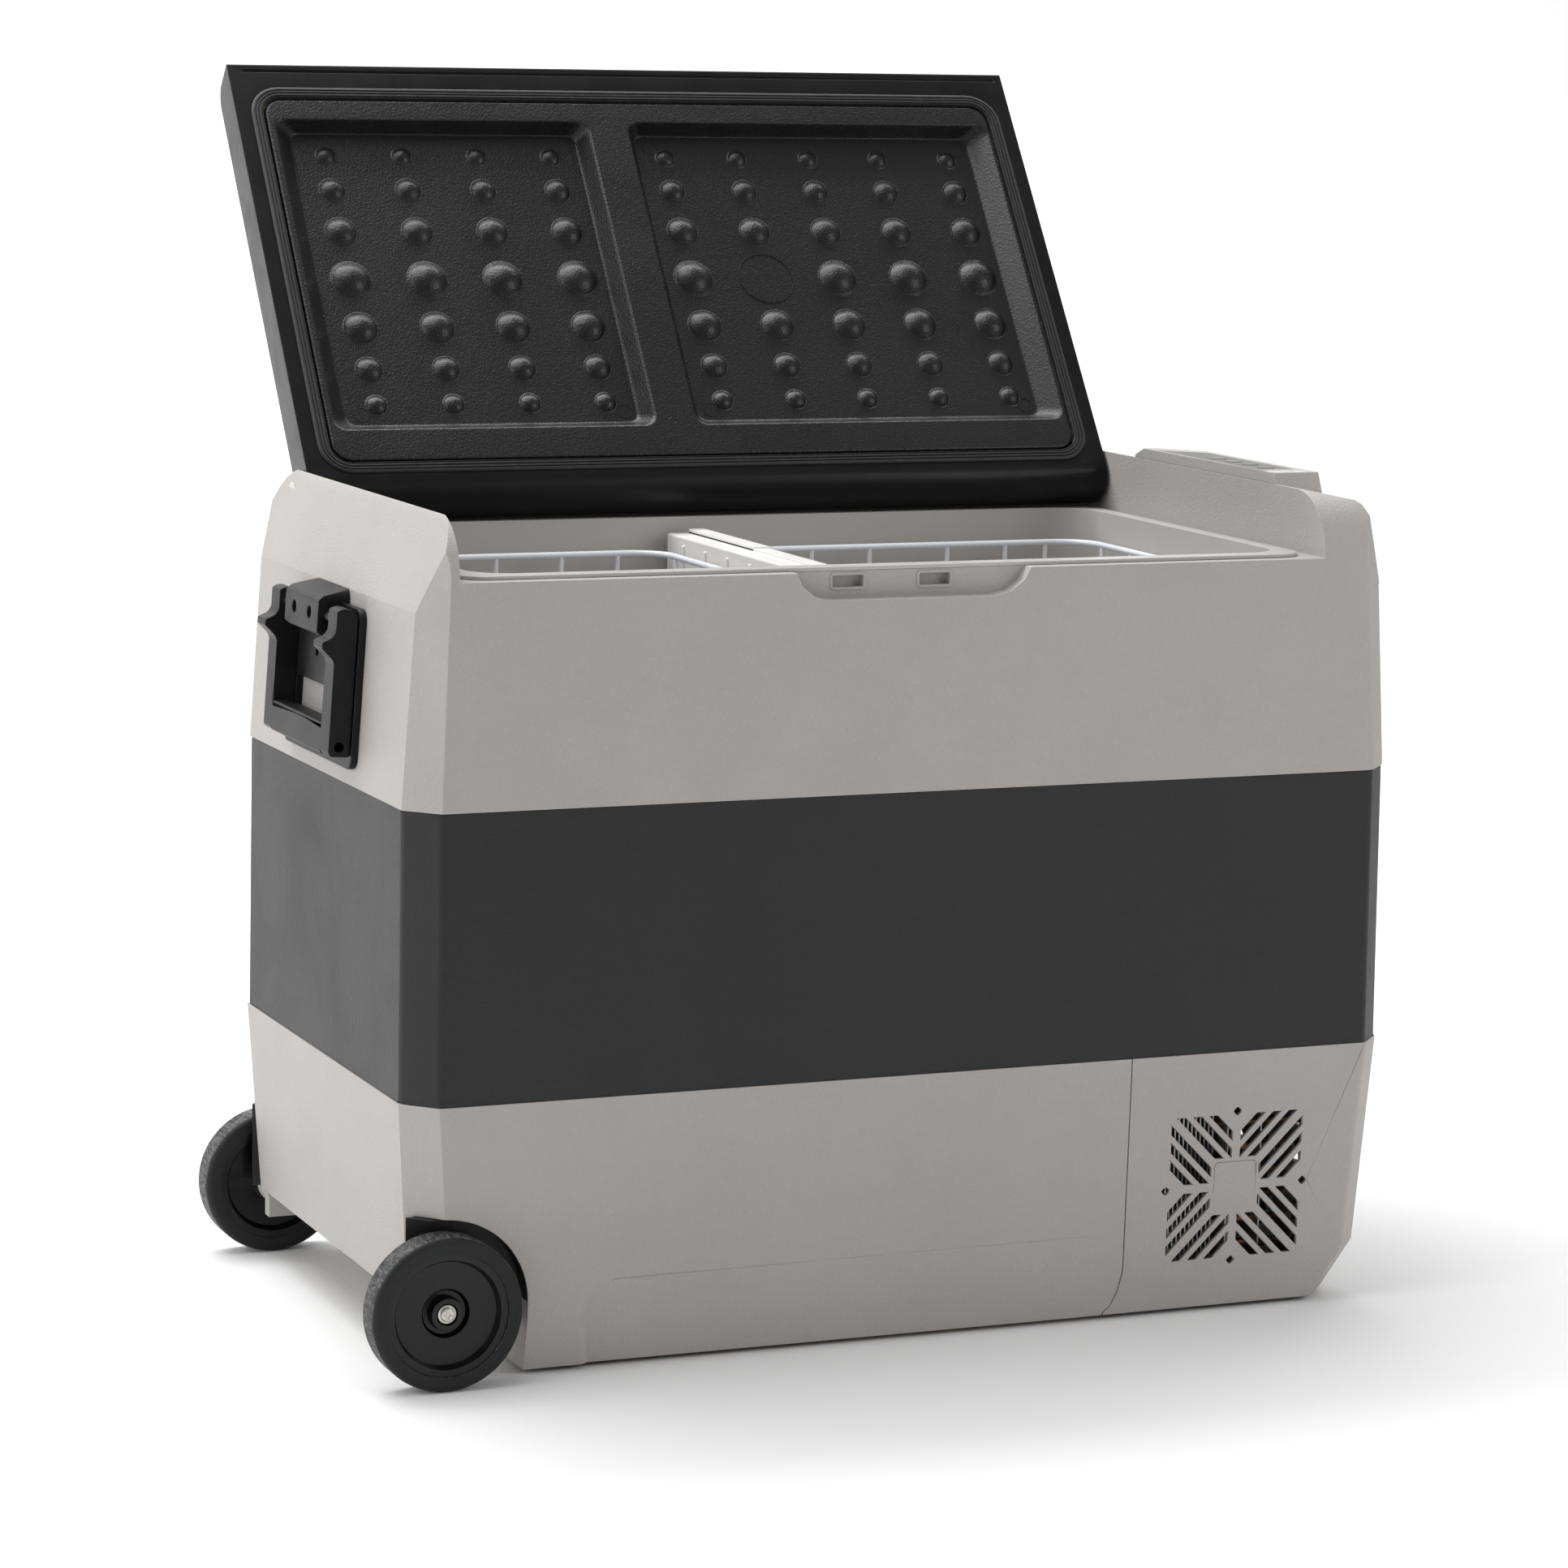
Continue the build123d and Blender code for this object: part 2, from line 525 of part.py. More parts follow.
def wheel_screw():
    """Shoulder screw with a washer; local +Z points out of the wheel."""
    half = (WHEEL_OUT - WHEEL_IN) / 2
    screw = Pos(0, 0, (half - 4.6 - 27.5) / 2) * Cylinder(AXLE_R, half - 4.6 + 27.5)
    screw += Pos(0, 0, half - 4.2) * Cylinder(5.8, 1.2)
    head = Pos(0, 0, half - 2.6) * Cylinder(4.2, 2.2)
    screw += fillet(head.edges().filter_by(GeomType.CIRCLE).sort_by(Axis.Z)[-1], 1.0)
    for angle in (0, 90):
        screw -= Pos(0, 0, half - 1.2) * Rot(0, 0, angle) * Box(4.6, 1.1, 2.0)
    return screw


def at_wheel(shape, side):
    """Places a wheel piece: side is -1 at the front and +1 at the back."""
    y = side * (WHEEL_OUT + WHEEL_IN) / 2
    return Pos(WHEEL_X, y, WHEEL_Z) * Rot(-90 * side, 0, 0) * shape


def axle_bracket(side):
    boss = rod_y(13, 143, 166, WHEEL_X, WHEEL_Z)
    ceiling = WHEEL_Z - GAP
    boss -= block((-340, -280), (130, WELL_Y + 0.2), (ceiling, 90))
    boss += block((WHEEL_X - 12, WHEEL_X + ARCH_R - GAP), (143, 152), (30, ceiling))
    boss -= rod_y(AXLE_R, 120, 180, WHEEL_X, WHEEL_Z)
    return boss if side > 0 else mirror(boss, about=Plane.XZ)


# ---- handles --------------------------------------------------------------------------------
def handle_outline(points, y0, y1):
    """Outline in (out, up), between two y planes, on the left end."""
    return prism_y([(-out, up) for out, up in points], y0, y1)


def handle_base():
    plate = Plane.YZ * (Pos(0, 49) * RectangleRounded(140, 98, 8))
    base = extrude(plate, amount=4.5, dir=(-1, 0, 0))
    base -= block((-10, 5), (-50, 50), (22, 44))
    knob = handle_outline([(0, 76), (17, 77.5), (20, 80), (20, 99), (17, 102), (0, 107)], -34, 34)
    knob_front = Plane.YZ * (Pos(0, 91.5) * RectangleRounded(68, 31.5, 7))
    base += knob & extrude(knob_front, amount=30, dir=(-1, 0, 0))
    for y in HANDLE_SCREWS_Y:
        base -= rod_x(4, -30, -8, y, PIVOT_UP)
        base -= rod_x(2.2, -30, 5, y, PIVOT_UP)
    base -= rod_x(3, -30, 5, 12, 63)
    base -= rod_y(PIN_R, -36, -21, -PIVOT_OUT, PIVOT_UP) + rod_y(PIN_R, 21, 36, -PIVOT_OUT, PIVOT_UP)
    return base


def handle_bail():
    """Grip bar between two arms, each with a horn below its round ear."""
    corners = [(5, 8), (18.6, 8), (18.6, 66), (26.9, 73.6), (26.9, 77.4), (18.6, 81.5), (18.6, 92), (5, 90)]
    radii = [1.5, 3.0, 7.0, 1.6, 1.6, 7.0, 1.0, 1.0]
    outline = FilletPolyline(*[(-out, up) for out, up in corners], radius=radii, close=True)
    arm = extrude(Pos(0, 51, 0) * (Plane.XZ * make_face(outline)), amount=ARM_W, dir=(0, 1, 0))
    arm += rod_y(EAR_R, 51, 51 + ARM_W, -PIVOT_OUT, PIVOT_UP) & block((-18.6, 0), (40, 80), (80, 100))
    bail = arm + mirror(arm, about=Plane.XZ)
    bail += fillet(block((-18.6, -5), (-52, 52), (8, 27)).edges().filter_by(Axis.Y), 1.4)
    bail -= rod_y(PIN_R + RUN, -80, 80, -PIVOT_OUT, PIVOT_UP)
    bail -= rod_y(3, -80, -55, -11.8, 14) + rod_y(3, 55, 80, -11.8, 14)
    for y0, y1 in ((67, 51 + ARM_W), (-51 - ARM_W, -67)):
        bail += rod_y(PIN_R + 1, y0, y1, -PIVOT_OUT, PIVOT_UP)
    return bail


def handle_pins():
    return [rod_y(PIN_R, 21, 66.8, -PIVOT_OUT, PIVOT_UP), rod_y(PIN_R, -66.8, -21, -PIVOT_OUT, PIVOT_UP)]


def handle_screws():
    screws = []
    for y in HANDLE_SCREWS_Y:
        screw = rod_x(3.6, -11.5, -8, y, PIVOT_UP) + rod_x(2.2, -8, -0.1, y, PIVOT_UP)
        screws.append(screw - block((-12, -10), (y - 2.4, y + 2.4), (PIVOT_UP - 0.5, PIVOT_UP + 0.5)))
    return screws


def on_end(shape, side):
    """Places a handle piece: side is -1 on the left end and +1 on the right."""
    placed = Pos(-HANDLE_FACE_X, 0, HANDLE_Z) * Rot(0, HANDLE_LEAN, 0) * shape
    return placed if side < 0 else mirror(placed, about=Plane.YZ)


# ---- lid group, drawn closed ----------------------------------------------------------------
def lid_outline():
    """Outline of the lid in (y, z): flat plate, rounded front edge and round rear barrel."""
    plate = Polygon((LID_FRONT, LID_BOTTOM), (HINGE_Y, LID_BOTTOM), (HINGE_Y, LID_TOP),
                    (LID_FRONT, LID_TOP), align=None)
    front = plate.vertices().sort_by(Axis.X)[:2].sort_by(Axis.Y)
    plate = fillet(front[1], 12)
    low = plate.vertices().sort_by(Axis.X)[:2].sort_by(Axis.Y)[0]
    plate = fillet(low, 2)
    return plate + Pos(HINGE_Y, HINGE_Z) * Circle(BARREL_R)


def lid_solid():
    face = Pos(LID_LEFT, 0, 0) * (Plane.YZ * lid_outline())
    solid = extrude(face, amount=LID_RIGHT - LID_LEFT, dir=(1, 0, 0))
    sides = [(LID_LEFT, LID_BOTTOM - 1), (LID_LEFT + LID_DRAFT, LID_TOP + 1),
             (LID_RIGHT - LID_DRAFT, LID_TOP + 1), (LID_RIGHT, LID_BOTTOM - 1)]
    return solid & prism_y(sides, -220, 220)


def lid_outer_shell():
    shell = lid_solid()
    shell -= block((LID_LEFT + 4, LID_RIGHT - 4), (LID_FRONT + 10, 122), (LID_BOTTOM + 5, LID_TOP - 3))
    shell -= block((LID_LEFT + 6, LID_RIGHT - 6), (LID_FRONT + 5, 122), (LID_BOTTOM + 5, LID_TOP - 12))
    shell -= rounded_plate(GASKET_X, GASKET_Y, (LID_BOTTOM - 1, LID_BOTTOM + 5.1), GASKET_R)
    shell -= block((-290, 262), (-172.8, -171.2), (LID_BOTTOM - 1, LID_BOTTOM + 1.2))
    for pin in hinge_pins():
        shell -= pin
    return shell


def pocket(spec, grow, floor_z):
    (x0, x1), (y0, y1), (fx0, fx1), (fy0, fy1) = spec
    lip = RectangleRounded(x1 - x0 + 2 * grow, y1 - y0 + 2 * grow, LIP_R)
    floor = RectangleRounded(fx1 - fx0 + 2 * grow, fy1 - fy0 + 2 * grow, FLOOR_R)
    return loft([Pos((x0 + x1) / 2, (y0 + y1) / 2, LID_BOTTOM) * lip,
                 Pos((fx0 + fx1) / 2, (fy0 + fy1) / 2, floor_z) * floor], ruled=True)


def dome(x, y, r, floor_z):
    """Spherical cap that stands out of the pocket floor, towards the tub."""
    height = 0.42 * r
    ball = (r * r + height * height) / (2 * height)
    slab = block((x - 2 * r, x + 2 * r), (y - 2 * r, y + 2 * r), (floor_z - height - 1, floor_z + 0.8))
    return Pos(x, y, floor_z - height + ball) * Sphere(ball) & slab


def dome_spots():
    columns = [DOME_LEFT_X + DOME_PITCH * k for k in range(DOME_LEFT_COUNT)]
    columns += [DOME_RIGHT_X + DOME_PITCH * k for k in range(DOME_RIGHT_COUNT)]
    disc = (DOME_LEFT_COUNT + DISC_COLUMN, DISC_ROW)
    return [(x, y, r) for row, (y, r) in enumerate(zip(DOME_ROWS, DOME_RADII))
            for column, x in enumerate(columns) if (column, row) != disc]


def lid_inner_panel():
    floor_z = LID_BOTTOM + POCKET_DEPTH
    skin = 1.6
    panel = rounded_plate(grown(GASKET_X, -GAP), grown(GASKET_Y, -GAP), (LID_BOTTOM + 2.6, LID_BOTTOM + 4.6),
                          GASKET_R - GAP)
    panel += rounded_plate(PANEL_X, PANEL_Y, (LID_BOTTOM, LID_BOTTOM + 3), PANEL_R)
    for spec in (LEFT_POCKET, RIGHT_POCKET):
        panel += pocket(spec, skin, floor_z + skin)
    for spec in (LEFT_POCKET, RIGHT_POCKET):
        panel -= pocket(spec, 0, floor_z)
    for x, y, r in dome_spots():
        panel += dome(x, y, r, floor_z)
    disc_x = DOME_RIGHT_X + DOME_PITCH * DISC_COLUMN
    ring = Cylinder(DISC_R, 1) - Cylinder(DISC_R - 1, 2)
    return panel + Pos(disc_x, DOME_ROWS[DISC_ROW], floor_z) * ring


def lid_foam():
    z = (LID_BOTTOM + POCKET_DEPTH + 2.2, LID_TOP - 3.3)
    return block((LID_LEFT + 7, LID_RIGHT - 7), (LID_FRONT + 12, 121), z)


def lid_gasket():
    ease = 0.2
    ring = rounded_plate(grown(GASKET_X, -ease), grown(GASKET_Y, -ease), (LID_BOTTOM - 1, LID_BOTTOM + 2.3),
                         GASKET_R - ease)
    ring -= rounded_plate(grown(PANEL_X, ease), grown(PANEL_Y, ease), (LID_BOTTOM - 5, LID_BOTTOM + 9),
                          PANEL_R + ease)
    for inset in (2.4, 5.0, 7.6):
        groove = rounded_plate(grown(GASKET_X, -inset), grown(GASKET_Y, -inset),
                               (LID_BOTTOM - 2, LID_BOTTOM), GASKET_R - inset)
        groove -= rounded_plate(grown(GASKET_X, -inset - 0.9), grown(GASKET_Y, -inset - 0.9),
                                (LID_BOTTOM - 3, LID_BOTTOM + 1), GASKET_R - inset - 0.9)
        ring -= groove
    return ring


def hinge_pins():
    return [rod_x(HINGE_PIN_R, *pin, HINGE_Y, HINGE_Z) for pin in HINGE_PINS_X]


def hinge_bushes():
    """Blind bushes pressed into the cheeks; the pins turn in them."""
    return [rod_x(HINGE_BUSH_R, *bush, HINGE_Y, HINGE_Z)
            - rod_x(HINGE_PIN_R + RUN, *grown(pin, 0.1), HINGE_Y, HINGE_Z)
            for bush, pin in zip(HINGE_BUSHES_X, HINGE_PINS_X)]


def lid_bumpers():
    """Rubber wedges on the rear rail that the open lid leans on."""
    lean = radians(OPEN_ANGLE - 90)
    y_face = HINGE_Y + BARREL_R * cos(lean)
    z_face = HINGE_Z - BARREL_R * sin(lean)

    def lean_z(y):
        return z_face + (y - y_face) / tan(lean) - 2 * GAP
    front, back = BUMPER_Y
    outline = [(front, RAIL_Z), (back, RAIL_Z), (back, lean_z(back)), (front, lean_z(front))]
    return [prism_x(outline, x - 20, x + 20) for x in BUMPERS_X]


def latch_bracket():
    """Strip of three knuckles on the lid's front edge that holds the latch pin."""
    strip = []
    for x in KNUCKLES_X:
        knuckle = rod_x(LATCH_BARREL_R, *x, LATCH_Y, LATCH_Z) + block(x, (LATCH_Y, LID_FRONT), (497.6, 502.4))
        strip.append(knuckle - rod_x(LATCH_PIN_R, *grown(x, 1), LATCH_Y, LATCH_Z))
    return strip


def latch_flap():
    """Flap in its latched position, hanging over the recess, with two hooks behind it."""
    plate = prism_y([(-84, 498), (-84, 492), (-68, 468), (40, 468), (62, 492), (62, 498)], *FLAP_Y)
    plate += prism_x([(-184.3, 474), (-187.5, 468.5), (-186.5, 467), (-184.3, 468)], -60, 32)
    plate -= block((-90, 70), (-190, -170), (496.5, 510))
    for x in BARRELS_X:
        plate += rod_x(LATCH_BARREL_R, *x, LATCH_Y, LATCH_Z) + block(x, FLAP_Y, (496, LATCH_Z))
    for x in CATCH_X:
        plate += block((x - 8.5, x + 8.5), (-181, -166), (477.2, 480.2))
    return plate - rod_x(LATCH_PIN_R + RUN, -90, 70, LATCH_Y, LATCH_Z)


def latch_pin():
    return rod_x(LATCH_PIN_R, KNUCKLES_X[0][0], KNUCKLES_X[-1][1], LATCH_Y, LATCH_Z)


# ---- control console ------------------------------------------------------------------------
def console_housing():
    body = prism_z([(263, 92), (267, 90), (302, 46), (302, -120), (263, -120)], 510, CONSOLE_TOP)
    profile = [(-120, 510), (-110, CONSOLE_TOP), (74, CONSOLE_TOP), (88, 526), (88, 510)]
    body &= prism_x(profile, 260, 310)
    body -= upper_envelope()
    body -= lid_space()
    body -= prism_z(PANEL_OUTLINE, CONSOLE_TOP - PANEL_SINK, CONSOLE_TOP + 2)
    body -= block((269.5, 299), (-106, -92), (CONSOLE_TOP - PANEL_SINK, CONSOLE_TOP + 2))
    for x, y in BUTTON_SPOTS:
        body -= rod_z(BUTTON_R + GAP, CONSOLE_TOP - 3.6, CONSOLE_TOP, x, y)
    return body.solids().sort_by(SortBy.VOLUME)[-1]


def control_panel():
    panel = prism_z(PANEL_OUTLINE, CONSOLE_TOP - PANEL_SINK, CONSOLE_TOP - 0.3)
    for x, y in BUTTON_SPOTS:
        panel -= rod_z(BUTTON_R + GAP, CONSOLE_TOP - 3, CONSOLE_TOP + 1, x, y)
    return panel


def display_window():
    return block((269.7, 298.8), (-105.8, -92.2), (CONSOLE_TOP - PANEL_SINK, CONSOLE_TOP - 0.2))


def button(x, y):
    cap = rod_z(BUTTON_R, CONSOLE_TOP - 2.6, CONSOLE_TOP + 0.2, x, y)
    return fillet(cap.edges().filter_by(GeomType.CIRCLE).sort_by(Axis.Z)[-1], 0.5)


def control_board():
    board = block((275, 295), (-100, 30), (500, 501.6))
    for y in (-90, -60, -30, 10):
        board += block((279, 291), (y - 6, y + 6), (501.6, 505))
    return board


# ---- tub contents ---------------------------------------------------------------------------
def divider():
    """Hollow plate with upright ribs on both sides and a stepped ridge along its top."""
    (x0, x1), top = DIVIDER_X, DIVIDER_Z[1]
    body = block(DIVIDER_X, DIVIDER_Y, DIVIDER_Z) + block((x0 + 14, x1 - 1), (-118, 118), (top, top + 1.6))
    body += block((x0 + 14, x1 - 1), (4, 118), (top + 1.6, top + 2.8))
    for y in DIVIDER_RIBS_Y:
        body += block(grown(DIVIDER_X, 1.4), (y - 2, y + 2), (90, 472))
    return body - block(grown(DIVIDER_X, -3), grown(DIVIDER_Y, -3), (69, 473))


def ring_wire(x, y, z):
    """Horizontal wire bent round a rounded rectangle."""
    outer = rounded_plate(grown(x, WIRE_R), grown(y, WIRE_R), (z - WIRE_R, z + WIRE_R), BASKET_R + WIRE_R)
    inner = rounded_plate(grown(x, -WIRE_R), grown(y, -WIRE_R), (z - 9, z + 9), BASKET_R - WIRE_R)
    return outer - inner


def u_wire(x, y, low):
    """Upright wire down the front, along the bottom and up the back."""
    frame = block((x - UPRIGHT_R, x + UPRIGHT_R), grown(y, UPRIGHT_R), (low - UPRIGHT_R, BASKET_TOP))
    return frame - block((x - 9, x + 9), grown(y, -UPRIGHT_R), (low + UPRIGHT_R, BASKET_TOP + 9))


def side_wire(y, x, low, step_x, step_low):
    """Upright wire down the left, along the bottom, over the step if there is one, and up the right."""
    def outline(t, top):
        return [(x[0] - t, top), (x[0] - t, low - t), (step_x + t, low - t), (step_x + t, step_low - t),
                (x[1] + t, step_low - t), (x[1] + t, top)]
    frame = prism_y(outline(UPRIGHT_R, BASKET_TOP), y - UPRIGHT_R, y + UPRIGHT_R)
    return frame - prism_y(outline(-UPRIGHT_R, BASKET_TOP + 9), y - 9, y + 9)


def basket(x, y, low, step_x, step_low, uprights):
    """Wire basket whose floor rises from low to step_low at step_x."""
    left_x = (x[0], step_x)
    wires = ring_wire(x, y, BASKET_TOP) + ring_wire(x, y, 0.45 * BASKET_TOP + 0.55 * step_low)
    wires += ring_wire(left_x, y, low + BASE_RING)
    if step_low > low:
        wires += ring_wire(x, y, step_low + BASE_RING) + ring_wire(left_x, y, (low + step_low) / 2)
    for at in uprights:
        wires += u_wire(at, y, low if at < step_x else step_low)
    for at in BASKET_SIDE_UPRIGHTS:
        wires += side_wire(at, x, low, step_x, step_low)
    return wires


def wall_regions(x, y, z):
    """Blocks that part a rounded ring of wires into its four sides and four corners."""
    xs = (x[0] - 4, x[0] + BASKET_R, x[1] - BASKET_R, x[1] + FLOOR_CUT)
    ys = (y[0] - 4, y[0] + BASKET_R, y[1] - BASKET_R, y[1] + 4)
    cells = [(i, j) for i in range(3) for j in range(3) if (i, j) != (1, 1)]
    return [block((xs[i], xs[i + 1]), (ys[j], ys[j + 1]), z) for i, j in cells]


def basket_parts(x, y, low, step_x, step_low, uprights):
    """The basket as separate panels of wires and corner bends that meet face to face."""
    wires = basket(x, y, low, step_x, step_low, uprights)
    wide_y, left_x = (y[0] - 4, y[1] + 4), (x[0], step_x)
    low_cut, step_cut = low + FLOOR_CUT, step_low + FLOOR_CUT
    regions = [block((x[0] - 4, step_x + FLOOR_CUT), wide_y, (low - 4, low_cut))]
    regions += wall_regions(x, y, (step_cut, BASKET_TOP + 4))
    if step_low > low:
        regions.append(block((step_x + FLOOR_CUT, x[1] + 4), wide_y, (step_low - 4, step_cut)))
        regions += wall_regions(left_x, y, (low_cut, step_cut))
    return [solid for region in regions for solid in (wires & region).solids()]


def left_basket():
    return basket_parts(LEFT_BASKET_X, BASKET_Y, BASKET_FLOOR, LEFT_BASKET_X[1], BASKET_FLOOR, LEFT_UPRIGHTS)


def right_basket():
    return basket_parts(RIGHT_BASKET_X, BASKET_Y, BASKET_FLOOR, BASKET_STEP_X, BASKET_STEP, RIGHT_UPRIGHTS)


# ---- sockets on the right end ---------------------------------------------------------------
def socket_plate():
    fit = 0.2
    plate = block((SOCKET_X, SOCKET_X + 2.6), (88, 150), (SOCKET_Z - 20, SOCKET_Z + 20))
    plate -= rod_x(DC_R + fit, SOCKET_X - 5, SOCKET_X + 5, DC_Y, SOCKET_Z)
    return plate - mains_block((SOCKET_X - 5, SOCKET_X + 5), fit)


def mains_block(x, grow):
    """Block of the mains inlet's outline, grown on every side."""
    half_w, half_h = MAINS_HALF_W + grow, MAINS_HALF_H + grow
    return block(x, (MAINS_Y - half_w, MAINS_Y + half_w), (SOCKET_Z - half_h, SOCKET_Z + half_h))


def contacts(y, apart):
    """Two round pins that stand up inside a socket, side by side."""
    return rod_x(1.2, 319, 323, y - apart, SOCKET_Z) + rod_x(1.2, 319, 323, y + apart, SOCKET_Z)


def dc_socket():
    body = rod_x(DC_R, SOCKET_BACK, SOCKET_FRONT, DC_Y, SOCKET_Z)
    return body - rod_x(DC_R - 2, SOCKET_BACK + 4, SOCKET_FRONT + 5, DC_Y, SOCKET_Z) + contacts(DC_Y, 3)


def mains_inlet():
    body = mains_block((SOCKET_BACK, SOCKET_FRONT), 0)
    return body - mains_block((SOCKET_BACK + 4, SOCKET_FRONT + 5), -2) + contacts(MAINS_Y, 3.5)


# ---- everything ------------------------------------------------------------------------------
os.makedirs("parts", exist_ok=True)

socket_opening = block((314, 340), (94.7, 143.5), (SOCKET_Z - 9.5, SOCKET_Z + 9.5))
socket_pocket = block((310, 340), (93, 146), (SOCKET_Z - 11, SOCKET_Z + 11))
write("upper_shell", upper_shell())
write("mid_band", mid_band() - socket_opening)
write("lower_shell", lower_shell())
write("compressor_cover", compressor_cover())
write("base_tray", base_tray())
write("rubber_feet", *rubber_feet())
write("inner_liner", inner_liner())
write("foam_insulation", foam_insulation() - socket_pocket)
write("evaporator_plate", evaporator_plate())
write("compressor", compressor())
write("compressor_mounts", *compressor_mounts())
write("compressor_mount_bolts", *mount_bolts())
write("condenser_tubes", *condenser_tubes())
write("condenser_fins", *condenser_fins())
write("fan_frame", fan_frame())
write("fan_rotor", fan_rotor())
write("filter_dryer", filter_dryer())
write("refrigerant_lines", *refrigerant_lines())
write("compressor_controller", compressor_controller())

for label, side in zip(("front", "rear"), SIDES):
    write(f"{label}_wheel_tyre", at_wheel(tyre(), side))
    write(f"{label}_wheel_hub", at_wheel(hub(), side))
    write(f"{label}_wheel_screw", at_wheel(wheel_screw(), side))
    write(f"{label}_axle_bracket", axle_bracket(side))

for label, side in zip(("left", "right"), SIDES):
    write(f"{label}_handle_base", on_end(handle_base(), side))
    write(f"{label}_handle_bail", on_end(handle_bail(), side))

write("handle_pins", *[on_end(pin, side) for side in SIDES for pin in handle_pins()])
write("handle_screws", *[on_end(screw, side) for side in SIDES for screw in handle_screws()])
write("hinge_bushes", *hinge_bushes())
write("hinge_pins", *[opened(pin) for pin in hinge_pins()])

write("lid_outer_shell", opened(lid_outer_shell()))
write("lid_inner_panel", opened(lid_inner_panel()))
write("lid_foam", opened(lid_foam()))
write("lid_gasket", opened(lid_gasket()))
write("lid_bumpers", *lid_bumpers())
write("latch_bracket", *[opened(knuckle) for knuckle in latch_bracket()])
write("latch_pin", opened(latch_pin()))
write("latch_flap", opened(swing(latch_flap(), -LATCH_FOLD, LATCH_Y, LATCH_Z)))

write("console_housing", console_housing())
write("control_panel", control_panel())
write("display_window", display_window())
write("control_board", control_board())
for name, (x, y) in zip(("power_button", "mode_button", "up_button", "down_button"), BUTTON_SPOTS):
    write(name, button(x, y))

write("divider", divider())
write("left_basket", *left_basket())
write("right_basket", *right_basket())
write("socket_plate", socket_plate())
write("dc_socket", dc_socket())
write("mains_inlet", mains_inlet())
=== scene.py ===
import json
import math

import bmesh
import bpy
from mathutils import Matrix, Vector
from mathutils.bvhtree import BVHTree


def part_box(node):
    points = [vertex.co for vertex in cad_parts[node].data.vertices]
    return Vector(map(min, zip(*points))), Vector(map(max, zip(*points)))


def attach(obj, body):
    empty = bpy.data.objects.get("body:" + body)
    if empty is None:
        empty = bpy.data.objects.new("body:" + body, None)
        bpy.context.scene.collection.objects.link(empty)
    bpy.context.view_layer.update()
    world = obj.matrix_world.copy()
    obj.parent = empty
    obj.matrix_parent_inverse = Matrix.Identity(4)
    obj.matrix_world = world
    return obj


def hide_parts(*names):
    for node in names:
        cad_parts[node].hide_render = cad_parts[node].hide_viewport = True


# A wheeled compressor cooler fridge. Lengths are written in millimetres and turned into metres where
# a mesh is made. The lid's pieces are drawn closed and then swung open about the lid's hinge.

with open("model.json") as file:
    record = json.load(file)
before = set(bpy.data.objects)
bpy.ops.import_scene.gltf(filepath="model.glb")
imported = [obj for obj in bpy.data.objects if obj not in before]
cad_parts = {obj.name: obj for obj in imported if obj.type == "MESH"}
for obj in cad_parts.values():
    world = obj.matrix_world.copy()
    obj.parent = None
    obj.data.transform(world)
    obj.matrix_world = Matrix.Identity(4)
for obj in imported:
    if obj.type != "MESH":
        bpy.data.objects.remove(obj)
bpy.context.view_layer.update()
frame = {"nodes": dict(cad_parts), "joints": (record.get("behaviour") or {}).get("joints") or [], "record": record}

MM = 0.001
NODES = frame["nodes"]
JOINTS = {joint["name"]: joint for joint in frame["joints"]}
SLOTS = {part["node"]: part["material_slot"] for part in frame["record"]["subparts"]}
BODIES = {node: body for body, names in frame["record"]["behaviour"]["bodies"].items() for node in names}
HINGE = Vector(JOINTS["lid_hinge"]["pos_m"])
CLOSED_ANGLE = math.radians(JOINTS["lid_hinge"]["range_deg"][0])
CLOSING = Matrix.Rotation(CLOSED_ANGLE, 4, Vector(JOINTS["lid_hinge"]["axis"]))
CLOSE = Matrix.Translation(HINGE) @ CLOSING @ Matrix.Translation(-HINGE)
OPEN = CLOSE.inverted()


# ---- the camera, at the photograph's angle ----------------------------------------------------
def camera():
    azimuth, elevation, roll = math.radians(22.714), math.radians(8.863), math.radians(1.018)
    target, distance = Vector((-0.01994, 0.0, 0.3262)), 3.1193
    back = Vector((-math.sin(azimuth) * math.cos(elevation), -math.cos(azimuth) * math.cos(elevation),
                   math.sin(elevation)))
    right = Vector((math.cos(azimuth), -math.sin(azimuth), 0.0))
    up = back.cross(right)
    across = math.cos(roll) * right + math.sin(roll) * up
    above = -math.sin(roll) * right + math.cos(roll) * up
    data = bpy.data.cameras.new("camera")
    data.lens, data.sensor_width = 111.26, 36.0
    data.clip_end = 50.0
    eye = bpy.data.objects.new("camera", data)
    eye.matrix_world = Matrix((
        (across.x, above.x, back.x, 0.0),
        (across.y, above.y, back.y, 0.0),
        (across.z, above.z, back.z, 0.0),
        (0.0, 0.0, 0.0, 1.0)))
    eye.location = target + distance * back
    bpy.context.scene.collection.objects.link(eye)
    bpy.context.scene.camera = eye


# ---- material building ------------------------------------------------------------------------
MIX_FIRST, MIX_SECOND, MIX_RESULT = 6, 7, 2         # colour sockets of the Mix node


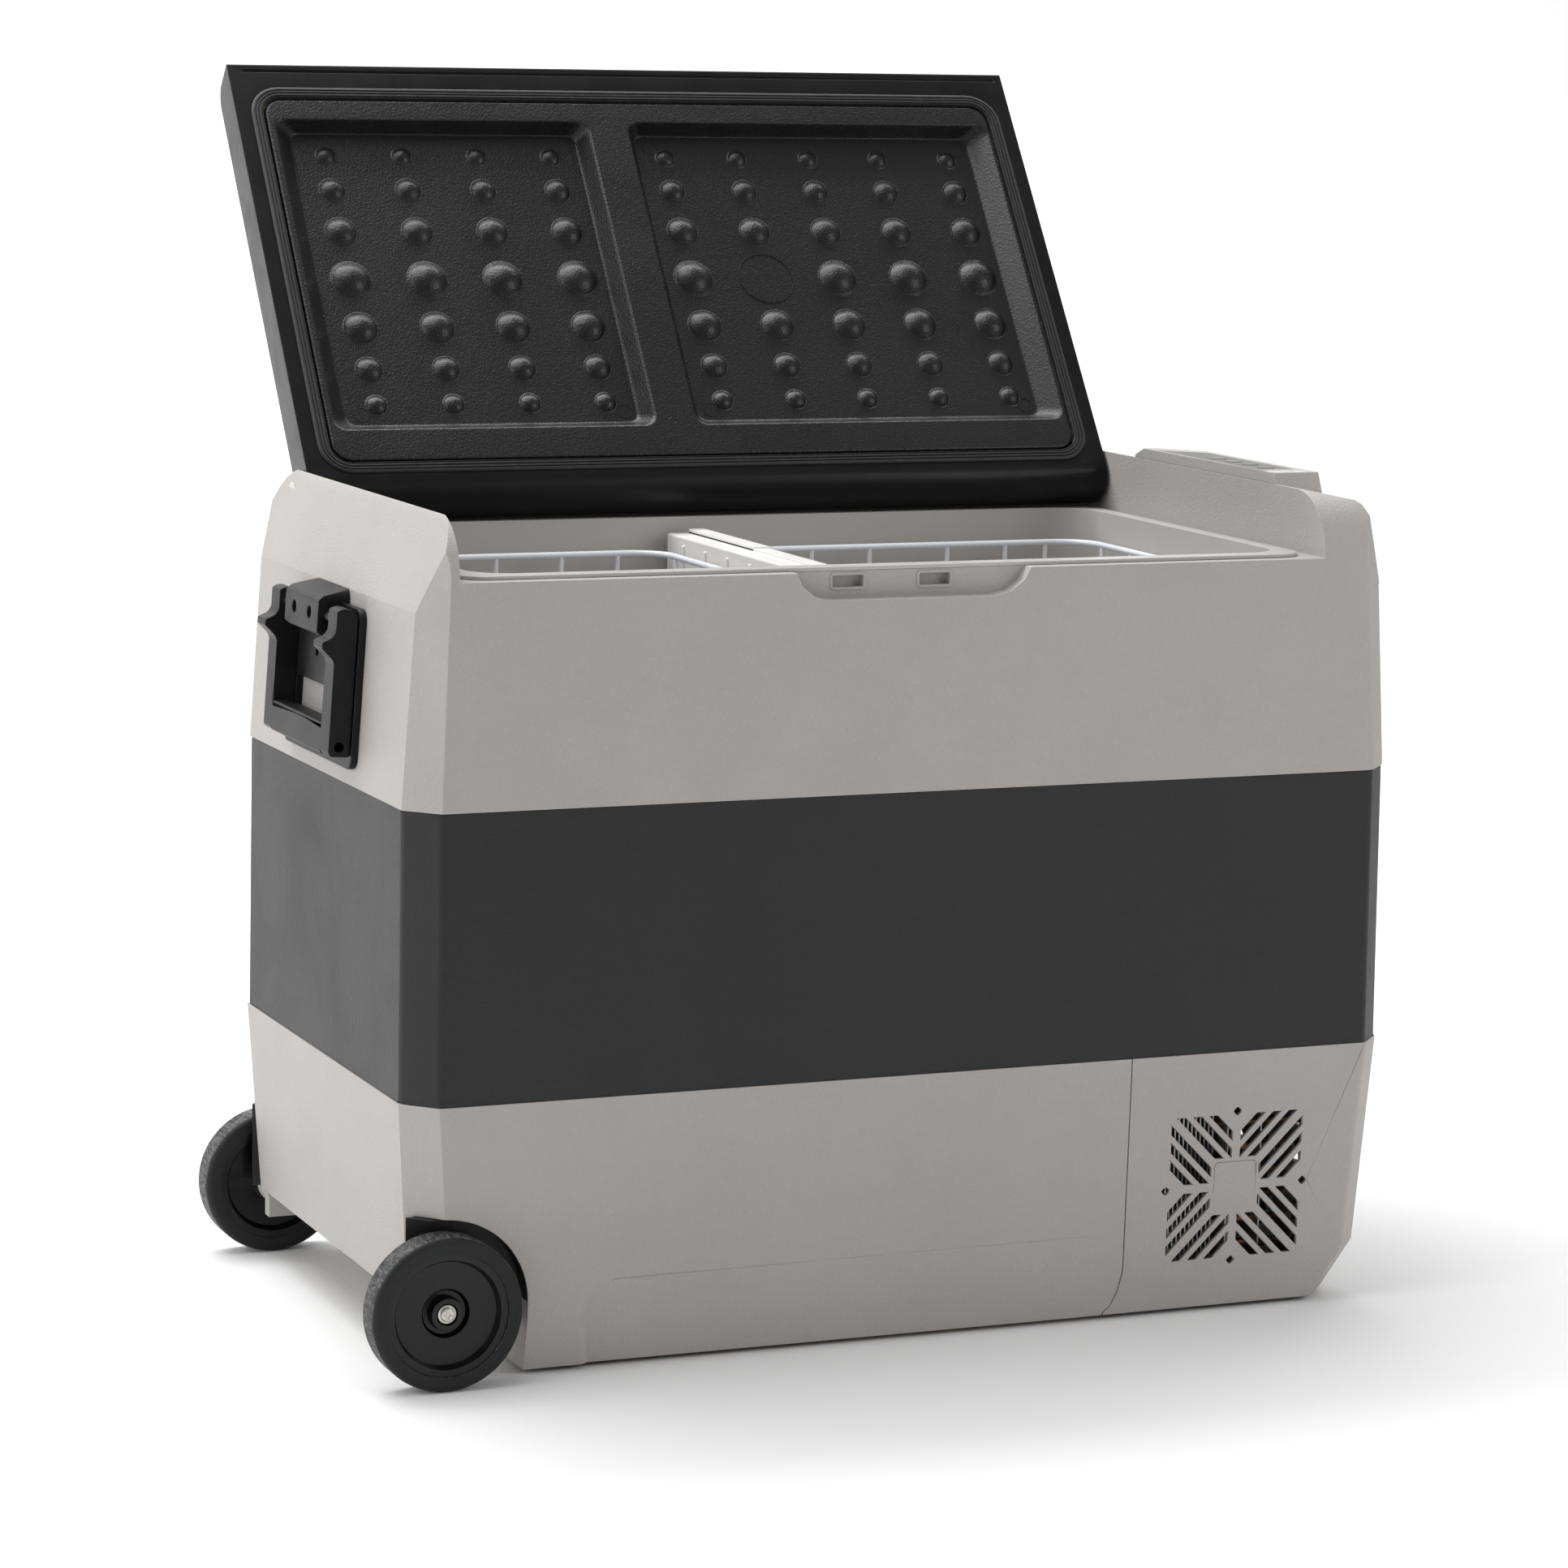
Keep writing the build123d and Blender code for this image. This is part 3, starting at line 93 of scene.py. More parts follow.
class Surface:
    """A principled material that is built up one procedural layer at a time."""

    def __init__(self, name, colour, rough, metallic=0.0, ior=1.5, coat=0.0, sheen=0.0):
        self.material = bpy.data.materials.new(name)
        self.material.use_nodes = True
        self.tree = self.material.node_tree
        self.shader = self.tree.nodes["Principled BSDF"]
        self.place = self.add("ShaderNodeTexCoord").outputs["Object"]
        self.shader.inputs["Metallic"].default_value = metallic
        self.shader.inputs["IOR"].default_value = ior
        self.shader.inputs["Coat Weight"].default_value = coat
        self.shader.inputs["Coat Roughness"].default_value = 0.1
        self.shader.inputs["Sheen Weight"].default_value = sheen
        self.colour = self.rgb(colour)
        self.rough = self.value(rough)
        self.bump = None

    def add(self, kind, **settings):
        made = self.tree.nodes.new(kind)
        for key, value in settings.items():
            setattr(made, key, value)
        return made

    def wire(self, source, socket):
        self.tree.links.new(source, socket)

    def rgb(self, colour):
        made = self.add("ShaderNodeRGB")
        made.outputs[0].default_value = (*colour, 1.0)
        return made.outputs[0]

    def value(self, number):
        made = self.add("ShaderNodeValue")
        made.outputs[0].default_value = number
        return made.outputs[0]

    def noise(self, size_mm, detail=3.0, rough=0.5, stretch=(1, 1, 1), distortion=0.0):
        """Soft noise from 0 to 1 whose blotches are about size_mm across."""
        made = self.add("ShaderNodeTexNoise")
        made.inputs["Scale"].default_value = 1.0 / (size_mm * MM)
        made.inputs["Detail"].default_value = detail
        made.inputs["Roughness"].default_value = rough
        made.inputs["Distortion"].default_value = distortion
        self.wire(self.stretched(stretch), made.inputs["Vector"])
        return made.outputs["Fac"]

    def cells(self, size_mm):
        """Rounded pebbles about size_mm across."""
        made = self.add("ShaderNodeTexVoronoi", feature="SMOOTH_F1")
        made.inputs["Scale"].default_value = 1.0 / (size_mm * MM)
        made.inputs["Smoothness"].default_value = 0.6
        self.wire(self.place, made.inputs["Vector"])
        return made.outputs["Distance"]

    def stretched(self, stretch):
        if stretch == (1, 1, 1):
            return self.place
        made = self.add("ShaderNodeMapping")
        made.inputs["Scale"].default_value = stretch
        self.wire(self.place, made.inputs["Vector"])
        return made.outputs["Vector"]

    def ramp(self, source, low, high):
        """Maps low..high onto 0..1."""
        made = self.add("ShaderNodeMapRange", clamp=True)
        made.inputs["From Min"].default_value = low
        made.inputs["From Max"].default_value = high
        self.wire(source, made.inputs["Value"])
        return made.outputs["Result"]

    def math(self, operation, first, second):
        made = self.add("ShaderNodeMath", operation=operation)
        for socket, item in zip(made.inputs, (first, second)):
            if isinstance(item, (int, float)):
                socket.default_value = item
            else:
                self.wire(item, socket)
        return made.outputs[0]

    def tint(self, mask, colour, strength):
        """Blends a colour in where the mask is 1."""
        made = self.add("ShaderNodeMix", data_type="RGBA")
        self.wire(self.math("MULTIPLY", mask, strength), made.inputs["Factor"])
        self.wire(self.colour, made.inputs[MIX_FIRST])
        made.inputs[MIX_SECOND].default_value = (*colour, 1.0)
        self.colour = made.outputs[MIX_RESULT]
        return self

    def roughen(self, mask, amount):
        self.rough = self.math("ADD", self.rough, self.math("MULTIPLY", mask, amount))
        return self

    def raise_by(self, height, depth_mm):
        """Adds relief: the surface rises by depth_mm where height is 1."""
        made = self.add("ShaderNodeBump")
        made.inputs["Distance"].default_value = depth_mm * MM
        made.inputs["Strength"].default_value = 1.0
        self.wire(height, made.inputs["Height"])
        if self.bump is not None:
            self.wire(self.bump, made.inputs["Normal"])
        self.bump = made.outputs["Normal"]
        return self

    def edges(self, radius_mm=1.2):
        """1 along the convex and concave edges, 0 on the faces."""
        soft = self.add("ShaderNodeBevel", samples=4)
        soft.inputs["Radius"].default_value = radius_mm * MM
        true = self.add("ShaderNodeNewGeometry")
        dot = self.add("ShaderNodeVectorMath", operation="DOT_PRODUCT")
        self.wire(soft.outputs["Normal"], dot.inputs[0])
        self.wire(true.outputs["Normal"], dot.inputs[1])
        return self.ramp(dot.outputs["Value"], 0.995, 0.90)

    def done(self):
        self.wire(self.colour, self.shader.inputs["Base Color"])
        self.wire(self.rough, self.shader.inputs["Roughness"])
        if self.bump is not None:
            self.wire(self.bump, self.shader.inputs["Normal"])
        return self.material


def srgb(*channels):
    """Linear colour from 0-255 display values."""
    return tuple(((c / 255 + 0.055) / 1.055) ** 2.4 if c > 10.3 else c / 255 / 12.92 for c in channels)


def lighter(colour, factor):
    return tuple(min(1.0, c * factor) for c in colour)


def moulded(name, colour, rough, grain_mm=1.3, grain_depth=0.10, wear=0.35, coat=0.0, **options):
    """Moulded plastic: pebbled grain, faint mottling, handling smudges and paler edges."""
    s = Surface(name, colour, rough, coat=coat, **options)
    s.tint(s.ramp(s.noise(55, 4), 0.35, 0.75), lighter(colour, 0.93), 0.6)
    s.tint(s.ramp(s.noise(grain_mm * 1.6, 2), 0.55, 0.8), lighter(colour, 1.12), 0.5)
    s.tint(s.ramp(s.noise(14, 5, 0.7), 0.68, 0.80), lighter(colour, 0.86), 0.35)
    s.tint(s.math("MULTIPLY", s.edges(), s.ramp(s.noise(6, 4), 0.35, 0.6)), lighter(colour, 1.5), wear)
    s.roughen(s.ramp(s.noise(90, 5, 0.6, distortion=0.6), 0.4, 0.75), 0.07)
    s.roughen(s.ramp(s.noise(grain_mm, 2), 0.3, 0.8), 0.05)
    s.raise_by(s.cells(grain_mm), grain_depth)
    s.raise_by(s.noise(grain_mm * 0.45, 2), grain_depth * 0.35)
    return s.done()


def smooth(name, colour, rough, coat=0.15, wear=0.3, **options):
    """Smooth moulded plastic: slight waviness, fine scratches, faint dust."""
    s = Surface(name, colour, rough, coat=coat, **options)
    s.tint(s.ramp(s.noise(70, 4), 0.4, 0.8), lighter(colour, 0.92), 0.5)
    s.tint(s.ramp(s.noise(2.0, 6, 0.8), 0.66, 0.74), lighter(colour, 1.35), 0.4)
    s.tint(s.math("MULTIPLY", s.edges(0.9), s.ramp(s.noise(5, 4), 0.35, 0.6)), lighter(colour, 1.5), wear)
    s.roughen(s.ramp(s.noise(40, 5, 0.65, distortion=0.8), 0.35, 0.8), 0.12)
    s.raise_by(s.noise(30, 2), 0.12)
    s.raise_by(s.noise(0.5, 2), 0.012)
    return s.done()


def metal(name, colour, rough, stretch=(1, 1, 1), stain=0.3):
    """Bare metal: stained in blotches, with fine marks that stretch can draw out one way."""
    s = Surface(name, colour, rough, metallic=1.0)
    s.tint(s.ramp(s.noise(9, 5, 0.7), 0.5, 0.8), lighter(colour, 0.6), stain)
    s.roughen(s.noise(1.2, 4, 0.6, stretch), 0.2)
    s.raise_by(s.noise(0.6, 3, 0.6, stretch), 0.02)
    return s.done()


def rubber(name, colour, rough, dust=0.3):
    """Matt rubber with a little grey dust."""
    s = Surface(name, colour, rough, sheen=0.15)
    s.tint(s.ramp(s.noise(8, 6, 0.75), 0.52, 0.8), (0.25, 0.25, 0.24), dust)
    s.tint(s.ramp(s.noise(1.1, 3), 0.6, 0.85), lighter(colour, 1.6), 0.4)
    s.roughen(s.noise(3, 4), 0.12)
    s.raise_by(s.noise(0.8, 3), 0.06)
    return s.done()


def scuffed_tyre(name, colour):
    """Rubber whose running surface is paler, with scuffs drawn out along the tread."""
    s = Surface(name, colour, 0.52, ior=1.42)
    side = s.add("ShaderNodeSeparateXYZ")
    s.wire(s.add("ShaderNodeTexCoord").outputs["Normal"], side.inputs[0])
    tread = s.ramp(s.math("ABSOLUTE", side.outputs["Y"], 0.0), 0.55, 0.25)
    scuffs = s.ramp(s.noise(2.6, 6, 0.75, (1, 0.35, 1), 0.6), 0.44, 0.66)
    s.tint(tread, lighter(colour, 2.0), 0.6)
    s.tint(s.math("MULTIPLY", tread, scuffs), (0.30, 0.30, 0.30), 0.55)
    s.tint(s.ramp(s.noise(1.4, 4), 0.62, 0.8), lighter(colour, 1.7), 0.35)
    s.roughen(s.noise(4, 5), 0.16)
    s.raise_by(s.noise(0.9, 4), 0.07)
    return s.done()


def foam(name, colour):
    """Open foam with small cells."""
    s = Surface(name, colour, 0.9)
    s.tint(s.ramp(s.noise(12, 5), 0.4, 0.8), lighter(colour, 0.75), 0.6)
    s.raise_by(s.cells(0.9), 0.25)
    return s.done()


def circuit(name, colour):
    """Lacquered circuit board with raised tracks."""
    s = Surface(name, colour, 0.35, coat=0.5)
    lines = s.ramp(s.noise(1.6, 0, 0.5, (0.2, 1, 1)), 0.52, 0.56)
    s.tint(lines, lighter(colour, 2.2), 0.8)
    s.roughen(s.noise(5, 3), 0.15)
    s.raise_by(lines, 0.03)
    return s.done()


SHELL = srgb(173, 169, 166)


def make_materials():
    return {
        "shell_grey": moulded("shell_grey", SHELL, 0.50, 1.5, 0.22, wear=0.35),
        "band_charcoal": moulded("band_charcoal", srgb(34, 34, 35), 0.46, 1.3, 0.18, wear=0.25, ior=1.42),
        "liner_grey": smooth("liner_grey", srgb(186, 183, 180), 0.34, coat=0.2),
        "lid_black": smooth("lid_black", srgb(8, 8, 9), 0.36, coat=0.05, wear=0.25, ior=1.30),
        "lid_panel_black": moulded("lid_panel_black", srgb(18, 18, 21), 0.34, 1.4, 0.22, wear=0.3, coat=0.12,
                                   ior=1.42),
        "gasket_rubber": rubber("gasket_rubber", srgb(12, 12, 13), 0.42, dust=0.08),
        "handle_black": moulded("handle_black", srgb(14, 14, 16), 0.42, 0.9, 0.08, wear=0.25, ior=1.36),
        "wheel_black": smooth("wheel_black", srgb(12, 12, 13), 0.28, coat=0.12, wear=0.25, ior=1.38),
        "tyre_rubber": scuffed_tyre("tyre_rubber", srgb(24, 25, 26)),
        "steel_zinc": metal("steel_zinc", (0.62, 0.60, 0.56), 0.22),
        "white_coat": smooth("white_coat", srgb(232, 235, 240), 0.32, coat=0.3, wear=0.1),
        "divider_white": smooth("divider_white", srgb(228, 226, 223), 0.42, coat=0.1, wear=0.1),
        "foam": foam("foam", (0.72, 0.62, 0.36)),
        "aluminium_plain": metal("aluminium_plain", (0.80, 0.81, 0.82), 0.30, (1, 1, 0.1), stain=0.15),
        "copper": metal("copper", (0.30, 0.17, 0.11), 0.32, stain=0.6),
        "compressor_black": smooth("compressor_black", srgb(20, 20, 21), 0.25, coat=0.5),
        "tray_black": moulded("tray_black", srgb(34, 34, 35), 0.5, 0.8, 0.05),
        "fan_black": smooth("fan_black", srgb(28, 28, 30), 0.4),
        "board_green": circuit("board_green", (0.02, 0.16, 0.06)),
        "panel_grey": smooth("panel_grey", srgb(108, 107, 107), 0.5, coat=0.0, wear=0.1, ior=1.38),
        "display_black": smooth("display_black", srgb(14, 15, 17), 0.10, coat=0.8, wear=0.0),
        "button_grey": smooth("button_grey", srgb(118, 117, 116), 0.45, coat=0.0, ior=1.38),
        "bush_nylon": smooth("bush_nylon", srgb(205, 203, 195), 0.45, coat=0.0),
        "bracket_grey": moulded("bracket_grey", srgb(178, 176, 170), 0.5, 0.9, 0.05),
        "foot_rubber": rubber("foot_rubber", srgb(35, 35, 36), 0.6),
        "socket_black": smooth("socket_black", srgb(26, 26, 28), 0.42),
    }


# ---- mesh building ----------------------------------------------------------------------------
def finished(name, bm, like, shade_angle, weighted=False, matrix=None):
    """Turns a bmesh in millimetres into a piece that rides and looks like the CAD node named like."""
    bmesh.ops.transform(bm, matrix=Matrix.Scale(MM, 4), verts=bm.verts)
    if matrix is not None:
        bmesh.ops.transform(bm, matrix=matrix, verts=bm.verts)
    return placed(name, bm, like, shade_angle, weighted)


def placed(name, bm, like, shade_angle, weighted=False):
    """Turns a bmesh in metres into a piece that rides and looks like the CAD node named like."""
    mesh = bpy.data.meshes.new(name)
    bm.to_mesh(mesh)
    bm.free()
    mesh.shade_smooth()
    mesh.set_sharp_from_angle(angle=math.radians(shade_angle))
    piece = bpy.data.objects.new(name, mesh)
    bpy.context.scene.collection.objects.link(piece)
    mesh.materials.append(MATERIALS[SLOTS[like]])
    if weighted:
        piece.modifiers.new("even_normals", "WEIGHTED_NORMAL").keep_sharp = True
    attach(piece, BODIES[like])
    return piece


WELD_MM = 0.02
SHARP_DEG = 28                      # edges sharper than this are rounded finely
BROAD_CREASE_DEG = (4, 62)          # creases between broad faces that are rounded wider
BROAD_FACE_MM2 = 700


RANK_STEP = 1e5                                     # more than a bevelled piece has corners


def face_rank(face):
    """A number from a face's corners alone, because the bevel adds its faces in no fixed order."""
    first, second, third = sorted(vertex.index for vertex in face.verts)[:3]
    return (first * RANK_STEP + second) * RANK_STEP + third


def bevelled(bm, edges, width_mm, segments, stray):
    """Rounds edges, and sets stray corners of the result back on the surface that they came from."""
    before = BVHTree.FromBMesh(bm)
    bmesh.ops.bevel(bm, geom=edges, offset=width_mm * MM, offset_type="OFFSET", segments=segments,
                    profile=0.5, affect="EDGES", clamp_overlap=False)
    for vertex in bm.verts:
        spot, _, _, distance = before.find_nearest(vertex.co)
        if distance > stray * width_mm * MM:
            vertex.co = spot
    bm.verts.index_update()
    bm.faces.sort(key=face_rank)


def folds(bm, least_deg, most_deg=360):
    """Edges between two faces that fold by an angle between the limits."""
    return [e for e in bm.edges if len(e.link_faces) == 2
            and math.radians(least_deg) < e.calc_face_angle(0.0) < math.radians(most_deg)]


def softened(node, fine_mm, wide_mm=0.0):
    """A copy of a CAD node whose sharp edges are rounded, and whose broad creases are rounded wider."""
    bm = bmesh.new()
    bm.from_mesh(NODES[node].data)
    bmesh.ops.remove_doubles(bm, verts=bm.verts, dist=WELD_MM * MM)
    bmesh.ops.dissolve_degenerate(bm, edges=bm.edges, dist=WELD_MM * MM)
    if wide_mm:
        area = BROAD_FACE_MM2 * MM * MM
        creases = [e for e in folds(bm, *BROAD_CREASE_DEG) if min(f.calc_area() for f in e.link_faces) > area]
        bevelled(bm, creases, wide_mm, 3, 0.3)
    bevelled(bm, folds(bm, SHARP_DEG), fine_mm, 2, 0.45)
    piece = placed(node + "_finish", bm, node, 40, weighted=True)
    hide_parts(node)
    return piece


# ---- shapes in millimetres --------------------------------------------------------------------
EASE = 0.14


def rounded(x, y, r, z, steps=6):
    """Points round a rounded rectangle at height z."""
    points = []
    for cx, cy, start in ((x[1] - r, y[1] - r, 0), (x[0] + r, y[1] - r, 90),
                          (x[0] + r, y[0] + r, 180), (x[1] - r, y[0] + r, 270)):
        for k in range(steps + 1):
            angle = math.radians(start + 90 * k / steps)
            points.append(Vector((cx + r * math.cos(angle), cy + r * math.sin(angle), z)))
    return points


def circle(cx, cy, r, z, steps):
    angles = (2 * math.pi * k / steps for k in range(steps))
    return [Vector((cx + r * math.cos(a), cy + r * math.sin(a), z)) for a in angles]


def skin(bm, rings, loop=False):
    """Joins rings of equally many points with quads and returns the rows of vertices."""
    rows = [[bm.verts.new(point) for point in ring] for ring in rings]
    for first, second in zip(rows, rows[1:] + rows[:1] if loop else rows[1:]):
        for k in range(len(first)):
            after = (k + 1) % len(first)
            bm.faces.new((first[k], first[after], second[after], second[k]))
    return rows


def capped(bm, rings):
    rows = skin(bm, rings)
    bm.faces.new(rows[0])
    bm.faces.new(rows[-1])


def outward(bm):
    bmesh.ops.recalc_face_normals(bm, faces=bm.faces)


def grown(span, by):
    return (span[0] - by, span[1] + by)


def between(a, b, t):
    return tuple(p + (q - p) * t for p, q in zip(a, b))


def eased(t):
    """Runs from 0 to 1 like t, with both ends rounded off over a width EASE."""
    if t < EASE:
        return (t + EASE) ** 2 / (4 * EASE)
    if t > 1 - EASE:
        return 1 - (1 + EASE - t) ** 2 / (4 * EASE)
    return t


def closed_box(node):
    """x, y and z spans in millimetres of a node on the lid, as it lies with the lid closed."""
    points = [CLOSE @ vertex.co / MM for vertex in NODES[node].data.vertices]
    return tuple((min(p[k] for p in points), max(p[k] for p in points)) for k in range(3))


def tube(bm, path, radius, loop=False, sides=12):
    """Round wire along a path, with its rings kept square to the path."""
    rings, side = [], None
    count = len(path)
    for k, point in enumerate(path):
        before = path[(k - 1) % count] if loop or k else point
        after = path[(k + 1) % count] if loop or k < count - 1 else point
        along = (after - before).normalized()
        side = along.orthogonal() if side is None else side - side.dot(along) * along
        side.normalize()
        up = along.cross(side)
        rings.append([point + radius * (math.cos(a) * side + math.sin(a) * up)
                      for a in (2 * math.pi * n / sides for n in range(sides))])
    rows = skin(bm, rings, loop)
    if not loop:
        bm.faces.new(rows[0])
        bm.faces.new(rows[-1])


def bent(points, radius, steps=5):
    """The same open path with an arc of about this radius at each inner corner."""
    path = [Vector(points[0])]
    for before, corner, after in zip(points, points[1:], points[2:]):
        corner = Vector(corner)
        into, out = (Vector(before) - corner).normalized(), (Vector(after) - corner).normalized()
        for k in range(steps + 1):
            t = k / steps
            path.append(corner + radius * ((1 - t) ** 2 * into + t ** 2 * out))
    path.append(Vector(points[-1]))
    return path


# ---- the lid's inner panel --------------------------------------------------------------------
PLATE_MARGIN, PLATE_R = 9.4, 13.0                   # from the panel's edge to the plate, and its corners
PLATE_EDGE = ((0.0, 5.0), (0.0, 1.6), (-0.35, 0.6), (-0.9, 0.15), (-1.7, 0.0))      # in from the plate, up
POCKET_DEPTH, POCKET_R = 12.0, 9.0
POCKET_Y = ((15.3, 23.3), (19.3, 32.3))             # lip and floor, in from the panel's two long sides
POCKETS_X = (((4.3, 227.3), (17.3, 220.3)), ((255.3, 526.3), (262.3, 514.3)))
POCKET_RINGS = 14
DOMES = ((-112.0, 6.6), (-85.0, 8.7), (-52.0, 10.7), (-14.5, 13.6), (23.0, 11.6), (55.0, 9.1), (82.0, 7.0))
DOME_COLUMNS = [-240.0 + 53.1 * k for k in range(4)] + [3.0 + 53.1 * k for k in range(5)]
DOME_RISE = 0.46                                    # height over radius
DOME_FOOT = ((1.4, 1.0), (1.4, 0.06), (0.7, -0.10), (0.2, -0.35))       # out from the radius, up
DOME_RINGS, DOME_SIDES = 8, 28
DISC_COLUMN, DISC_Y, DISC_R = 5, -14.5, 19.5
FLOOR_MARK_R, BAR_MARK_R = 5.2, 2.6
SEAL_R, SEAL_WIDTH = 21.8, 8.0
SEAL_RIBS = (0.9, 3.1, 5.3)                         # where each rib starts, in from the outer edge


def dome(bm, x, y, r, floor_z):
    """A round bump that swells out of the pocket floor through a small fillet."""
    height = DOME_RISE * r
    ball = (r * r + height * height) / (2 * height)
    profile = [(r + out, up) for out, up in DOME_FOOT]
    for k in range(1, DOME_RINGS + 1):
        radius = r * math.cos(math.radians(90 * k / (DOME_RINGS + 0.6)))
        profile.append((radius, -(math.sqrt(ball * ball - radius * radius) - (ball - height))))
    capped(bm, [circle(x, y, radius, floor_z + z, DOME_SIDES) for radius, z in profile])


def lid_tray():
    x, y, z = closed_box("lid_inner_panel")
    face = z[0]
    plate_x, plate_y = grown(x, -PLATE_MARGIN), grown(y, -PLATE_MARGIN)
    bm = bmesh.new()
    rows = skin(bm, [rounded(grown(plate_x, inset), grown(plate_y, inset), PLATE_R + inset, face + up)
                     for inset, up in PLATE_EDGE])
    borders = [rows[-1]]
    for lip_x, floor_x in POCKETS_X:
        lip_x, floor_x = [tuple(plate_x[0] + offset for offset in span) for span in (lip_x, floor_x)]
        lip_y, floor_y = [(plate_y[0] + a, plate_y[1] - b) for a, b in POCKET_Y]
        rings = []
        for k in range(POCKET_RINGS + 1):
            t = -EASE + (1 + 2 * EASE) * k / POCKET_RINGS
            drop = eased(t) if 0 < k < POCKET_RINGS else k // POCKET_RINGS
            rings.append(rounded(between(lip_x, floor_x, t), between(lip_y, floor_y, t), POCKET_R - 2 * t,
                                 face + POCKET_DEPTH * drop, 8))
        rows = skin(bm, rings)
        bm.faces.new(rows[-1])
        borders.append(rows[0])
    rims = [bm.edges.get((row[k], row[(k + 1) % len(row)])) for row in borders for k in range(len(row))]
    bmesh.ops.triangle_fill(bm, edges=rims, use_beauty=True)
    outward(bm)
    tray = finished("lid_tray", bm, "lid_inner_panel", 50, weighted=True, matrix=OPEN)
    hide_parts("lid_inner_panel")
    lid_domes(face + POCKET_DEPTH)
    mould_marks(plate_x, plate_y, face)


def lid_domes(floor_z):
    bm = bmesh.new()
    for column, x in enumerate(DOME_COLUMNS):
        for y, r in DOMES:
            if (column, y) != (DISC_COLUMN, DISC_Y):
                dome(bm, x, y, r, floor_z)
    outward(bm)
    finished("lid_domes", bm, "lid_inner_panel", 60, matrix=OPEN)


def raised_ring(bm, x, y, r, z, height, width):
    """A thin round ridge, such as an ejector mark leaves."""
    root = 0.3
    profile = [(r + width / 2, root), (r + width / 2, 0), (r + width / 4, -height), (r - width / 4, -height),
               (r - width / 2, 0), (r - width / 2, root)]
    skin(bm, [circle(x, y, radius, z + up, 48) for radius, up in profile], loop=True)


def mould_marks(plate_x, plate_y, face):
    """The moulded disc between the domes, and the ejector marks on the pocket floors and the bar."""
    floor_z = face + POCKET_DEPTH
    bm = bmesh.new()
    raised_ring(bm, DOME_COLUMNS[DISC_COLUMN], DISC_Y, DISC_R, floor_z, 0.45, 1.0)
    for _, floor_x in POCKETS_X:
        for x in (plate_x[0] + floor_x[0] + 11, plate_x[0] + floor_x[1] - 9):
            for y in (plate_y[0] + 29, plate_y[1] - 41):
                raised_ring(bm, x, y, FLOOR_MARK_R, floor_z, 0.22, 0.5)
    bar_x = plate_x[0] + (POCKETS_X[0][0][1] + POCKETS_X[1][0][0]) / 2
    for y in (plate_y[0] + 14, plate_y[0] + 132, plate_y[1] - 26):
        raised_ring(bm, bar_x - 3, y, BAR_MARK_R, face, 0.18, 0.5)
    outward(bm)
    finished("lid_mould_marks", bm, "lid_inner_panel", 60, matrix=OPEN)


def lid_seal():
    """Ribbed rubber profile that runs all round the panel."""
    x, y, z = closed_box("lid_gasket")
    face, base = z[0], z[1]
    profile = [(0.0, base), (0.0, face + 0.7), (0.5, face + 0.2)]
    for start in SEAL_RIBS:
        profile += [(start, face), (start + 1.2, face)]
        profile += [(start + 1.5, face + 0.75), (start + 1.9, face + 0.75)]
    profile += [(SEAL_WIDTH - 0.4, face + 0.2), (SEAL_WIDTH, face + 0.7), (SEAL_WIDTH, base)]
    bm = bmesh.new()
    rings = [rounded(grown(x, -inset), grown(y, -inset), SEAL_R - inset, at, 8) for inset, at in profile]
    skin(bm, rings, loop=True)
    outward(bm)
    seal = finished("lid_seal", bm, "lid_gasket", 40, matrix=OPEN)
    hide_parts("lid_gasket")


# ---- baskets ----------------------------------------------------------------------------------
RING_R, UPRIGHT_R = 2.1, 1.7
BASKET_BEND, UPRIGHT_BEND = 25.0, 7.0
LOW_RING_RISE = 5.0                                 # of the lowest ring over the basket's floor
BASKET_SIDES_Y = (-91.0, -48.0, -5.0, 38.0, 81.0)
LEFT_UPRIGHTS_X = (-224.0, -179.0, -134.0, -95.0)
RIGHT_UPRIGHTS_X = (12.0, 43.0, 85.0, 142.0, 185.0, 215.0)
RIGHT_STEP_X, RIGHT_STEP_RISE = 114.0, 118.0        # over the compressor's compartment


def basket(node, uprights, step_x=None, step_rise=0.0):
    """White wire basket, stepped up to the right of step_x if that is given."""
    low, high = [Vector(corner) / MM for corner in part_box(node)]
    x, y = (low.x + RING_R, high.x - RING_R), (low.y + RING_R, high.y - RING_R)
    floor, top = low.z + UPRIGHT_R, high.z - RING_R
    step_x, raised = step_x or x[1], floor + step_rise
    bm = bmesh.new()
    levels = [(x, top), (x, 0.45 * top + 0.55 * raised), ((x[0], step_x), floor + LOW_RING_RISE)]
    if step_rise:
        levels += [(x, raised + LOW_RING_RISE), ((x[0], step_x), (floor + raised) / 2)]
    for span, z in levels:
        tube(bm, rounded(span, y, BASKET_BEND, z, 8), RING_R, loop=True, sides=14)
    for at in uprights:
        bottom = floor if at < step_x else raised
        corners = [(at, y[0], top), (at, y[0], bottom), (at, y[1], bottom), (at, y[1], top)]
        tube(bm, bent(corners, UPRIGHT_BEND), UPRIGHT_R)
    for at in BASKET_SIDES_Y:
        corners = [(x[0], at, top), (x[0], at, floor), (step_x, at, floor)]
        corners += [(step_x, at, raised), (x[1], at, raised)] if step_rise else []
        tube(bm, bent(corners + [(x[1], at, top)], UPRIGHT_BEND), UPRIGHT_R)
    outward(bm)
    wires = finished(node + "_wires", bm, node, 60)
    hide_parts(node)


